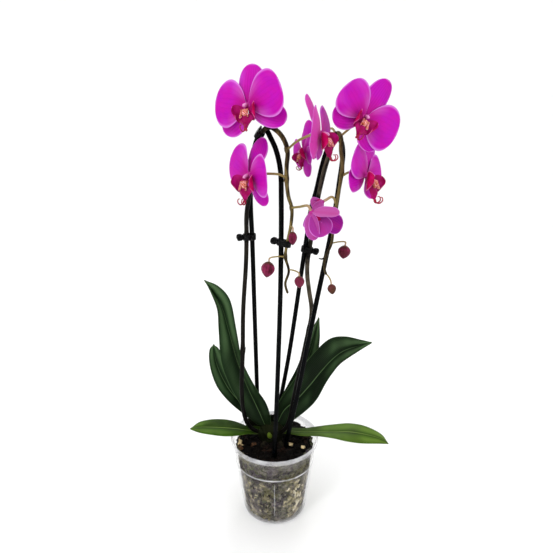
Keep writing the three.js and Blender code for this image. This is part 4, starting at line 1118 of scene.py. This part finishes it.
# Each tepal: its direction in degrees clockwise from straight up, reach, width, sweep and twist. fold closes
# the lip. backs says how pale each back is, in the order dorsal sepal, other sepals and petals. Above 0.6 it
# tints the face as well.
PLAIN_BACKS = (0.4,) * 5
BLOOMS = (
    {"centre": (-27, -42, 543), "yaw": -24, "pitch": 8, "roll": -10, "size": 1, "lip": 0.95, "fold": 0,
     "dorsal": (11, 41, 31, 3), "sepals": ((117, 43, 27, 2), (-115, 43, 31, -10)),
     "petals": ((75, 44, 49, 18), (-73, 39, 50, 1)), "backs": PLAIN_BACKS},
    {"centre": (95, -42, 532), "yaw": 20, "pitch": 3, "roll": 35, "size": 0.93, "lip": 1, "fold": 0,
     "dorsal": (1, 47, 29, 12), "sepals": ((126, 38, 30, 9), (-121, 36, 30, -1)),
     "petals": ((81, 42, 54, 13), (-72, 41, 48, 11)), "backs": PLAIN_BACKS},
    {"centre": (-27, -36, 471), "yaw": -38, "pitch": -3, "roll": -4, "size": 0.93, "lip": 1.1, "fold": 0,
     "dorsal": (8, 46, 26, -24), "sepals": ((164, 39, 23, -8), (-112, 36, 28, -15)),
     "petals": ((91, 34, 50, 20), (-61, 42, 52, -11)), "backs": PLAIN_BACKS},
    {"centre": (103, -26, 470), "yaw": 53, "pitch": 5, "roll": 14, "size": 0.93, "lip": 1.15, "fold": 0,
     "dorsal": (18, 41, 28, 6), "sepals": ((128, 32, 28, 10), (-112, 37, 30, 4)),
     "petals": ((80, 35, 50, 6), (-62, 43, 43, 8)), "backs": PLAIN_BACKS},
    {"centre": (48, -52, 515), "yaw": 58, "pitch": 4, "roll": 2, "size": 0.95, "lip": 1, "fold": 0,
     "dorsal": (8, 46, 20, -16), "sepals": ((120, 41, 33, -15), (-119, 45, 23, 20)),
     "petals": ((71, 36, 50, -6), (-74, 35, 47, 18)), "backs": (1.0, 0.4, 1.0, 0.4, 1.0)},
    {"centre": (36, 32, 493), "yaw": -61, "pitch": -3, "roll": -26, "size": 0.78, "lip": 1, "fold": 0,
     "dorsal": (17, 46, 34, -10), "sepals": ((130, 34, 27, 20), (-140, 42, 29, -7)),
     "petals": ((92, 35, 40, -8), (-77, 36, 46, -2)), "backs": PLAIN_BACKS},
    # Bloom 7's first petal has the darkest back: painted shade on a shadowed petal.
    {"centre": (40.5, -58, 434), "yaw": 115, "pitch": -60, "roll": -28, "size": 0.76, "lip": 0.8, "fold": 50,
     "dorsal": (-26, 40, 28, 26), "sepals": ((122, 38, 28, 60), (-120, 40, 26, 62)),
     "petals": ((3, 50, 36, 63, -60), (-75, 38, 34, 55)), "backs": (0.5, 0.35, 0.35, 0.0, 0.15)},
    {"centre": (55.5, -28, 441), "yaw": -100, "pitch": -30, "roll": -12, "size": 0.44, "lip": 0.8, "fold": 62,
     "dorsal": (4, 31, 26, 66), "sepals": ((120, 38, 26, 68), (-112, 38, 28, 66)),
     "petals": ((76, 32, 38, 66), (-75, 34, 38, 62)), "backs": PLAIN_BACKS},
)


def bloom_place(bloom, scale):
    """Puts a bloom that looks along +Z, with its dorsal sepal along +Y, in its place on the plant."""
    yaw, pitch, roll = [math.radians(bloom[key]) for key in ("yaw", "pitch", "roll")]
    forward = Vector((math.sin(yaw) * math.cos(pitch), -math.cos(yaw) * math.cos(pitch), math.sin(pitch)))
    level = Vector((math.cos(yaw), math.sin(yaw), 0))
    above = forward.cross(level)
    right = level * math.cos(roll) - above * math.sin(roll)
    up = level * math.sin(roll) + above * math.cos(roll)
    turned = Matrix((right, up, forward)).transposed().to_4x4()
    return Matrix.Translation(bloom["centre"]) @ turned @ Matrix.Scale(scale, 4)


def tepals_of(bloom):
    """A bloom's five tepals with their forms: dorsal sepal, other sepals, petals."""
    forms = [(SEPAL_FORM, bloom["dorsal"])]
    forms += [(SEPAL_FORM, tepal) for tepal in bloom["sepals"]]
    forms += [(PETAL_FORM, tepal) for tepal in bloom["petals"]]
    made = []
    for form, values in forms:
        phi, reach, width, sweep = values[:4]
        twist = values[4] if len(values) > 4 else form["twist"]
        made.append(SimpleNamespace(**{**form, "phi": phi, "reach": reach, "width": width, "sweep": sweep,
                                       "twist": twist, "petal": form is PETAL_FORM}))
    return made


def half_width(t, tepal):
    """Half a tepal's width at t along it: its outline rises to a peak and rounds off to its tip."""
    peak = tepal.flare / (tepal.flare + tepal.round)
    top = peak ** tepal.flare * (1 - peak) ** tepal.round
    share = t ** tepal.flare * (1 - t) ** tepal.round / top
    narrow = 0.12 if t < peak else 0.015
    return max(share, narrow) * tepal.width / 2


def tepal_surface(tepal, phase):
    """A tepal that leaves the hub at its angle, curls back, is cupped and grooved and has a ruffled rim."""
    phi = math.radians(tepal.phi)
    cos_phi, sin_phi = math.cos(phi), math.sin(phi)

    def place(u, v):
        t = 0.999 * (1 - (1 - u) ** 1.8)
        slope = math.radians(tepal.sweep + tepal.curl * t / 2)
        turn = math.radians(tepal.twist * t)
        half = half_width(t, tepal) * v
        across = half * math.cos(turn)
        bend = tepal.cup * half * half / (tepal.width / 2) - half * math.sin(turn)
        ruffle = 0.7 * abs(v) ** 3 * math.sin(9 * t + phase + 2 * v) * t * (1 - t) * 4
        groove = -0.5 * math.exp(-((v * 5) ** 2)) * math.sin(math.pi * t)
        out = 2 + tepal.reach * t * math.cos(slope) + bend * math.sin(slope)
        lift = tepal.layer + tepal.reach * t * math.sin(slope) - bend * math.cos(slope) + ruffle + groove
        return Vector((out * sin_phi + across * cos_phi, out * cos_phi - across * sin_phi, lift))

    return place


class ORCHID_OT_blooms(bpy.types.Operator):
    """Models each bloom's sepals, petals and column"""

    bl_idname = "orchid.blooms"
    bl_label = "Blooms"

    def execute(self, context):
        size, colours = in_millimetres(context), context.scene.orchid_colours
        materials = [petal_face(colours, "petal_face", 0.18), petal_reverse(colours),
                     petal_face(colours, "sepal_face", 0.5), column_finish(colours),
                     plain_finish("anther", colours.column, 0.4),
                     plain_finish("hub", hexed("ac2c86"), 0.5, specular_ior_level=0.1)]
        for number, bloom in enumerate(BLOOMS, 1):
            shape = Shape()
            self.tepals(shape, size, bloom, number)
            self.column(shape)
            shape.move(bloom_place(bloom, bloom["size"]))
            shape.piece(f"bloom_tepals_{number}", materials, f"bloom_{number}")
        return {"FINISHED"}

    @staticmethod
    def tepals(shape, size, bloom, number):
        rows, columns = (44, 20) if bloom["size"] > 0.6 else (26, 12)
        for i, tepal in enumerate(tepals_of(bloom)):
            shape.blade(
                tepal_surface(tepal, number + 1.7 * i), rows, columns,
                lambda u, v: size.petal_thickness * (1.0 - 0.45 * abs(v)) / bloom["size"],
                front=0 if tepal.petal else 2, back=1, tone=bloom["backs"][i])

    @staticmethod
    def column(shape):
        """The column with its round tip, and the hub behind it."""
        shape.bar(((0, 0, 0), (0, 0.6, 5), (0, -0.8, 10)), lambda u, c: 2.1 - 0.2 * u,
                  sides=16, steps=10, slot=3)
        shape.ball((0, -0.9, 10.2), (1.7, 1.35, 1.5), slot=4, fineness=3)
        shape.ball((0, 0, 0), (HUB_RADIUS, HUB_RADIUS, HUB_DEPTH), slot=5, fineness=3)


# ---------------------------------------------------------------- lips
MID_SPINE = Route(((0, -2, 3), (0, -10, 9), (0, -18, 13.5), (0, -26, 12.5)))
CALLUS = ((0, -4.4, 9.2), (0, -8.4, 10.4), (0, -12.6, 11.2))
CALLUS_RADIUS = 3.2

# The right tendril: from the tip of the middle lobe forward, up and curled back.
TENDRIL = ((0.8, -25, 12.4), (1.6, -28, 13.4), (2.2, -28.8, 17), (2.7, -26, 20), (2.9, -22.8, 19),
           (2.7, -22.6, 16.6))


def mid_lobe(u, v):
    """The arrow-shaped middle lobe: a narrow claw, broad shoulders and a tapering tip."""
    spine = MID_SPINE.at(u)
    shoulder = smooth(0.25, 0.62, u)
    width = 2.6 + 6.6 * shoulder - 8.2 * smooth(0.62, 1.02, u)
    keel = 1.1 * math.exp(-((v * 4) ** 2)) * math.sin(math.pi * u)
    return Vector((width * v, spine.y + 2 * v * v * shoulder, spine.z - 4.2 * v * v * shoulder + keel))


def side_lobe(side):
    """A rounded lobe that stands out from the claw and curves forward round the column."""
    def place(u, v):
        turn = math.radians(104) * u
        half = 1.2 + 8.6 * math.sin(math.pi * (0.08 + 0.87 * u)) ** 0.6
        reach = 2.2 + 10.8 * math.sin(turn) + 1.1 * v * u - 1.6 * v * v * u
        rise = -9 + 2.6 * u + half * v
        return Vector((side * reach, rise, 4.5 + 9.6 * (1 - math.cos(turn)) - 1.4 * v * v * u + 0.8 * v * u))

    return place


def crest(side):
    """An upright, striped plate beside the callus."""
    def place(u, v):
        rise = 9.2 + 4.6 * u + 2.5 * v * (1 - 0.4 * u)
        return Vector((side * (3.1 + 1.5 * u + 0.6 * v), -4.6 - 9.4 * u, rise))

    return place


class ORCHID_OT_lips(bpy.types.Operator):
    """Models each bloom's lip with its lobes, callus and tendrils"""

    bl_idname = "orchid.lips"
    bl_label = "Lips"

    def execute(self, context):
        size, colours = in_millimetres(context), context.scene.orchid_colours
        materials = [lip_face(colours), lip_reverse(), callus_finish(colours),
                     plain_finish("tendril", hexed("9c1438"), 0.4, specular_ior_level=0.2)]
        for number, bloom in enumerate(BLOOMS, 1):
            scale = bloom["size"] * bloom["lip"]
            thickness = size.petal_thickness / scale
            shape = Shape()
            shape.blade(mid_lobe, 26, 14, lambda u, v: thickness)
            for side in (1, -1):
                front, back = (0, 1) if side == 1 else (1, 0)
                shape.blade(side_lobe(side), 20, 14, lambda u, v: thickness, front=front, back=back)
                tendril = [(side * x, y, z) for x, y, z in TENDRIL]
                shape.bar(tendril, lambda u, c: 1.0 - 0.6 * u, sides=8, steps=26, slot=3)
                shape.blade(crest(side), 10, 6, lambda u, v: 1.3, front=2, back=2)
            shape.bar(CALLUS, lambda u, c: CALLUS_RADIUS * math.sqrt(max(0.02, 1 - (2 * u - 1) ** 2)),
                      sides=24, steps=20, slot=2)
            shape.move(bloom_place(bloom, scale) @ Matrix.Rotation(-math.radians(bloom["fold"]), 4, "X"))
            shape.piece(f"lip_lobes_{number}", materials, f"lip_{number}")
        return {"FINISHED"}


# ---------------------------------------------------------------- buds
# Each bud, and where its stalk leaves which stem. green is the share of its greenish tone.
BUDS = (
    {"top": (21, -40, 409), "foot": (21, -41, 393), "width": 10, "spike": "left", "from": (18, -31, 413),
     "green": 0.0},
    {"top": (-6, -37, 373), "foot": (-9, -39, 354), "width": 16, "spike": "left", "from": (13, -31, 377),
     "green": 0.0},
    {"top": (29, -36, 355), "foot": (30, -36, 340), "width": 12, "spike": "left", "from": (16, -33, 362),
     "green": 0.15},
    {"top": (83, -24, 389), "foot": (81, -26, 373), "width": 15, "spike": "right", "from": (67, -23, 391),
     "green": 0.1},
    {"top": (68, -26, 342), "foot": (70, -27, 329), "width": 10.5, "spike": "right", "from": (62, -25, 354),
     "green": 0.65},
)


class ORCHID_OT_buds(bpy.types.Operator):
    """Models the closed buds with their three sutures"""

    bl_idname = "orchid.buds"
    bl_label = "Buds"

    def execute(self, context):
        material = bud_finish(context.scene.orchid_colours)
        for number, bud in enumerate(BUDS, 1):
            top, foot = Vector(bud["top"]), Vector(bud["foot"])
            shape = Shape()
            verts = shape.bar((top, top.lerp(foot, 0.5), foot), lambda u, c: self.swell(bud, u),
                              sides=30, steps=28, tone=bud["green"])
            axis = (foot - top).normalized()
            for vert in verts:
                reach = (vert.co - top).dot(axis)
                centre = top + axis * reach
                spoke = vert.co - centre
                turn = math.atan2(spoke.y, spoke.x)
                vert.co = centre + spoke * (1 - 0.07 * max(0.0, math.cos(3 * turn + number)) ** 12)
            shape.piece(f"bud_shell_{number}", [material], f"bud_{number}")
        return {"FINISHED"}

    @staticmethod
    def swell(bud, u):
        """A bud's radius: full near its top, drawn in to a blunt point at its foot."""
        return bud["width"] / 2 * max(0.03, math.sin(math.pi * min(max(u, 0.004), 0.998) ** 0.85) ** 0.72)


# ---------------------------------------------------------------- stems with their stalks
# How far a stalk reaches into its bloom or bud.
SEATING = 0.4

# For each bloom, the stem that its stalk leaves and the stalk's first points.
BLOOM_STALKS = (
    ("left", ((-5, -16, 522), (-10, -24, 530))),
    ("right", ((75, -10, 512), (83, -18, 520))),
    ("left", ((14, -24, 467), (4, -34, 472))),
    ("right", ((76, -21, 468), (84, -24, 473))),
    ("left", ((15, -20, 498), (26, -38, 508))),
    ("right", ((70, -6, 514), (66, 4, 520), (58, 20, 512))),
    ("left", ((19, -30, 434), (28, -41, 437))),
    ("right", ((70, -22, 438), (68, -25, 444), (64.5, -28, 446))),
)


def bloom_seat(bloom):
    """Where a stalk comes up to the back of its bloom, and where it ends."""
    place = bloom_place(bloom, bloom["size"])
    back = HUB_DEPTH - SEATING
    return [tuple(place @ Vector((0, 0, -back - 7))), tuple(place @ Vector((0, 0, -back)))]


def bud_stalk(bud):
    top, foot, start = Vector(bud["top"]), Vector(bud["foot"]), Vector(bud["from"])
    axis = (foot - top).normalized()
    seat = top + axis * SEATING
    before = top - axis * 3.5
    return [start, start.lerp(before, 0.55) + Vector((0, 0, 1.2)), before, seat]


class ORCHID_OT_spikes(bpy.types.Operator):
    """Models the flower spikes with their nodes, bracts and stalks"""

    bl_idname = "orchid.spikes"
    bl_label = "Flower spikes"

    def execute(self, context):
        size, colours = in_millimetres(context), context.scene.orchid_colours
        others = [stalk_finish(colours), plain_finish("bract", hexed("5a5030"), 0.55, specular_ior_level=0.1),
                  plain_finish("dark_bract", hexed("1d1915"), 0.55, specular_ior_level=0.1)]
        for side, spike in SPIKES.items():
            materials = [stem_finish(colours, side, spike["apex"], spike["dusk"]), *others]
            route = Route(spike["route"])
            shape = Shape()
            shape.bar(route, lambda u, c: stem_radius(size, u, c, spike["nodes"]), sides=16, steps=260)
            blooms = [(start, bloom) for (stem, start), bloom in zip(BLOOM_STALKS, BLOOMS) if stem == side]
            for start, bloom in blooms:
                shape.bar((*start, *bloom_seat(bloom)), lambda u, c: size.pedicel_radius + 0.35 * u,
                          sides=12, steps=30, slot=1)
            for bud in (bud for bud in BUDS if bud["spike"] == side):
                shape.bar(bud_stalk(bud), lambda u, c: 0.85 + 0.15 * u, sides=10, steps=20, slot=1)
            for spur in spike["spurs"]:
                shape.bar(spur, lambda u, c: 1.3 - 0.7 * u, sides=10, steps=10, slot=3)
            for node in (*spike["nodes"], *(start[0] for start, _ in blooms)):
                self.bract(shape, size, route, spike["apex"], Vector(node))
            shape.piece(f"spike_stem_{side}", materials, f"spike_{side}")
        return {"FINISHED"}

    @staticmethod
    def bract(shape, size, route, apex, node):
        """A small pointed scale that clasps the stem at a node."""
        u = route.nearest(node)
        centre, tangent = route.at(u), route.along(u)
        radius = stem_radius(size, u, centre, ())
        out = Vector((tangent.y, -tangent.x, 0.0))
        out = (out if out.length > 0.1 else Vector((1, 0, 0))).normalized()
        other = tangent.cross(out).normalized()
        length = 2.6 * radius

        def place(along, across):
            turn = across * (1 - along) ** 0.7 * 1.9
            reach = radius * (1.16 + 0.22 * along * along)
            return (centre + tangent * (length * (along - 0.35))
                    + out * (math.cos(turn) * reach) + other * (math.sin(turn) * reach))

        slot = 2 if u > apex else 3
        shape.blade(place, 10, 8, lambda a, b: 0.5, front=slot, back=slot)


# ---------------------------------------------------------------- clips
# Each clip: its hoop and stem, where on the hoop it sits, and the side on which its finger tabs stand.
CLIPS = (
    ("left", (-31, 21, 389), 1),
    ("left", (11, -29, 393), -1),
    ("right", (41, 23, 372), 1),
    ("left", (-16, -4, 513), -1),
)
BAND_MARGIN, BAND_HALF_THICKNESS, BAND_HALF_HEIGHT = 1.5, 0.65, 3.9
LEAST_HALF_SPAN = 2.6
TAB_START, TAB_LENGTH, TAB_THICKNESS = 0.9, 9.6, 1.6
RIDGE_PLACES, RIDGE_RADIUS = (0.45, 0.6, 0.75), 0.34
SPRING_RADIUS, SPRING_LENGTH, SPRING_WIRE = 1.3, 6.4, 0.4


def squared(value):
    """Pushes a sine or cosine outwards, so that a circle becomes a rounded square."""
    return math.copysign(abs(value) ** 0.5, value)


def tab_surface(reach, side, lean):
    """A tab that widens from the band and ends round."""
    def place(u, v):
        half = (2.5 + 1.5 * smooth(0.1, 0.45, u)) * math.sqrt(1 - max(0.0, (u - 0.7) / 0.32) ** 2)
        return Vector((side * (reach - TAB_START + TAB_LENGTH * u), lean * (1.1 + 1.9 * u), half * v))

    return place


class ORCHID_OT_clips(bpy.types.Operator):
    """Models the sprung clips that hold the stems to the hoops"""

    bl_idname = "orchid.clips"
    bl_label = "Clips"

    def execute(self, context):
        size, colours = in_millimetres(context), context.scene.orchid_colours
        materials = [plain_finish("clip_plastic", colours.clip, 0.16, specular_ior_level=0.12),
                     plain_finish("clip_spring", hexed("9a9ca0"), 0.25, metallic=1.0)]
        for number, (side, at, tabs) in enumerate(CLIPS, 1):
            place, half = self.seat(Route(HOOPS[side]), Route(SPIKES[side]["route"]), Vector(at))
            reach = half + size.stem_radius + TAB_START
            shape = Shape()
            self.band(shape, half, size.stem_radius + BAND_MARGIN)
            self.tabs(shape, reach, tabs)
            self.spring(shape, reach, tabs)
            shape.move(place)
            shape.piece(f"clip_body_{number}", materials, f"clip_{number}")
        return {"FINISHED"}

    @staticmethod
    def seat(hoop, spike, at):
        """A clip's place between its hoop and its stem, and half the distance that it spans."""
        u = hoop.nearest(at)
        rod = hoop.at(u)
        w = spike.nearest(rod)
        stem = spike.at(w)
        across = (stem - rod).normalized()
        lean = hoop.along(u) + spike.along(w)
        up = (lean - across * across.dot(lean)).normalized()
        turned = Matrix((across, up.cross(across), up)).transposed().to_4x4()
        half = max((stem - rod).length / 2, LEAST_HALF_SPAN)
        return Matrix.Translation(rod.lerp(stem, 0.5)) @ turned, half

    @staticmethod
    def band(shape, half, radius):
        """A flat band round the rod and the stem, with a rounded section."""
        segments, section = 48, 16
        verts = bmesh.ops.create_grid(shape.bm, x_segments=section, y_segments=segments, size=1)["verts"]
        for vert in verts:
            turn, round_the_band = math.pi * (vert.co.x + 1), math.pi * (vert.co.y + 1)
            reach = radius + squared(math.cos(turn)) * BAND_HALF_THICKNESS
            x = reach * math.cos(round_the_band)
            x += math.copysign(half, x) if abs(x) > 1e-6 else 0
            vert.co = (x, reach * math.sin(round_the_band), squared(math.sin(turn)) * BAND_HALF_HEIGHT)
        verts = shape.weld(verts)
        faces = shape.settle(verts, 0, 0.5)
        bmesh.ops.recalc_face_normals(shape.bm, faces=list(faces))

    @staticmethod
    def tabs(shape, reach, side):
        """Two round-ended finger tabs, each with three ridges."""
        for lean in (1, -1):
            surface = tab_surface(reach, side, lean)
            shape.blade(surface, 22, 8, lambda u, v: TAB_THICKNESS, front=0, back=0)
            for u in RIDGE_PLACES:
                x, y, z = surface(u, 0.82)
                ridge = ((x, y + lean * 0.8, -z), (x, y + lean * 0.9, 0), (x, y + lean * 0.8, z))
                shape.bar(ridge, lambda u, c: RIDGE_RADIUS, sides=8, steps=4)

    @staticmethod
    def spring(shape, reach, side):
        """The coil spring between the tabs."""
        turns, rings, middle = 5, 40, side * (reach + 1.4)
        coil = []
        for i in range(rings + 1):
            turn = math.tau * turns * i / rings
            height = SPRING_LENGTH * (i / rings - 0.5)
            coil.append((middle + SPRING_RADIUS * math.cos(turn), SPRING_RADIUS * math.sin(turn), height))
        shape.bar(coil, lambda u, c: SPRING_WIRE, sides=6, steps=160, slot=1)


# ---------------------------------------------------------------- stage
# Each lamp's name, place and width in metres, and power in watts. All of them point at AIM.
LAMPS = (
    ("key", (-0.9, -1.2, 1.7), 0.5, 10),
    ("fill", (1.3, -1.2, 0.9), 0.6, 3),
    ("back", (0.3, 1.3, 1.4), 0.8, 6),
)
AIM = Vector((0.0, 0.0, 0.32))
SKY_STRENGTH = 1.05
FLOOR_DROP = 0.0002

# The camera's place in millimetres, its pitch below the horizon, and its focal length in image widths.
CAMERA_PLACE, CAMERA_PITCH, CAMERA_FOCAL = (2.6, -600, 530), 17.3, 505.0 / 553


class ORCHID_OT_stage(bpy.types.Operator):
    """Sets up the pale floor, the soft lights and the camera"""

    bl_idname = "orchid.stage"
    bl_label = "Stage"

    def execute(self, context):
        scene = context.scene
        self.floor()
        self.lights(scene)
        self.camera(scene)
        return {"FINISHED"}

    @staticmethod
    def floor():
        """A floor that curves up into a round backdrop, just under the pot."""
        reach, corner, height = 1.9, 0.6, 2.4
        bm = bmesh.new()
        profile = [(0.0, 0.0), (0.5, 0.0), (1.2, 0.0)]
        profile += [(reach + corner * math.sin(a), corner - corner * math.cos(a))
                    for a in (math.pi / 2 * i / 10 for i in range(11))]
        profile.append((reach + corner, height))
        verts = [bm.verts.new((radius, 0, z - FLOOR_DROP)) for radius, z in profile]
        edges = [bm.edges.new(pair) for pair in zip(verts, verts[1:])]
        bmesh.ops.spin(bm, geom=verts + edges, cent=(0, 0, 0), axis=(0, 0, 1), dvec=(0, 0, 0),
                       angle=math.tau, steps=64, use_merge=True)
        bmesh.ops.remove_doubles(bm, verts=bm.verts, dist=1e-5)
        for face in bm.faces:
            face.smooth = True
        mesh = bpy.data.meshes.new("floor")
        bm.to_mesh(mesh)
        bm.free()
        mesh.materials.append(plain_finish("floor", (0.95, 0.95, 0.95), 0.8, specular_ior_level=0.1))
        made = bpy.data.objects.new("floor", mesh)
        bpy.context.scene.collection.objects.link(made)

    @staticmethod
    def lights(scene):
        world = bpy.data.worlds.new("soft_sky")
        world.use_nodes = True
        background = world.node_tree.nodes["Background"]
        background.inputs["Color"].default_value = (1, 1, 1, 1)
        background.inputs["Strength"].default_value = SKY_STRENGTH
        scene.world = world
        for name, place, width, power in LAMPS:
            light = bpy.data.lights.new(name, "AREA")
            light.shape = "DISK"
            light.size = width
            light.energy = power
            lamp = bpy.data.objects.new(name, light)
            lamp.location = place
            lamp.rotation_euler = (AIM - Vector(place)).to_track_quat("-Z", "Y").to_euler()
            lamp.visible_camera = False
            scene.collection.objects.link(lamp)
        scene.view_settings.view_transform = "Standard"

    @staticmethod
    def camera(scene):
        data = bpy.data.cameras.new("camera")
        data.sensor_width = 36.0
        data.lens = data.sensor_width * CAMERA_FOCAL
        made = bpy.data.objects.new("camera", data)
        made.location = Vector(CAMERA_PLACE) * MM
        made.rotation_euler = (math.radians(90 - CAMERA_PITCH), 0, 0)
        scene.collection.objects.link(made)
        scene.camera = made


# ---------------------------------------------------------------- panel and registering
OPERATORS = (ORCHID_OT_pot, ORCHID_OT_bark, ORCHID_OT_crown, ORCHID_OT_leaves, ORCHID_OT_hoops,
             ORCHID_OT_spikes, ORCHID_OT_clips, ORCHID_OT_blooms, ORCHID_OT_lips, ORCHID_OT_buds,
             ORCHID_OT_stage)


class ORCHID_PT_panel(bpy.types.Panel):
    """Lists the orchid's sizes, colours and steps"""

    bl_idname = "ORCHID_PT_panel"
    bl_label = "Potted orchid"
    bl_space_type = "VIEW_3D"
    bl_region_type = "UI"
    bl_category = "Orchid"

    def draw(self, context):
        layout = self.layout
        for group in (context.scene.orchid_sizes, context.scene.orchid_colours):
            box = layout.box()
            for name in type(group).__annotations__:
                box.prop(group, name)
        for operator in OPERATORS:
            layout.operator(operator.bl_idname)


CLASSES = (OrchidSizes, OrchidColours, *OPERATORS, ORCHID_PT_panel)


def register():
    for item in CLASSES:
        bpy.utils.register_class(item)
    bpy.types.Scene.orchid_sizes = bpy.props.PointerProperty(type=OrchidSizes)
    bpy.types.Scene.orchid_colours = bpy.props.PointerProperty(type=OrchidColours)


def unregister():
    del bpy.types.Scene.orchid_colours
    del bpy.types.Scene.orchid_sizes
    for item in reversed(CLASSES):
        bpy.utils.unregister_class(item)


def main():
    register()
    for operator in OPERATORS:
        name = operator.bl_idname.removeprefix("orchid.")
        getattr(bpy.ops.orchid, name)()
    bpy.context.view_layer.update()


if __name__ == "__main__":
    main()
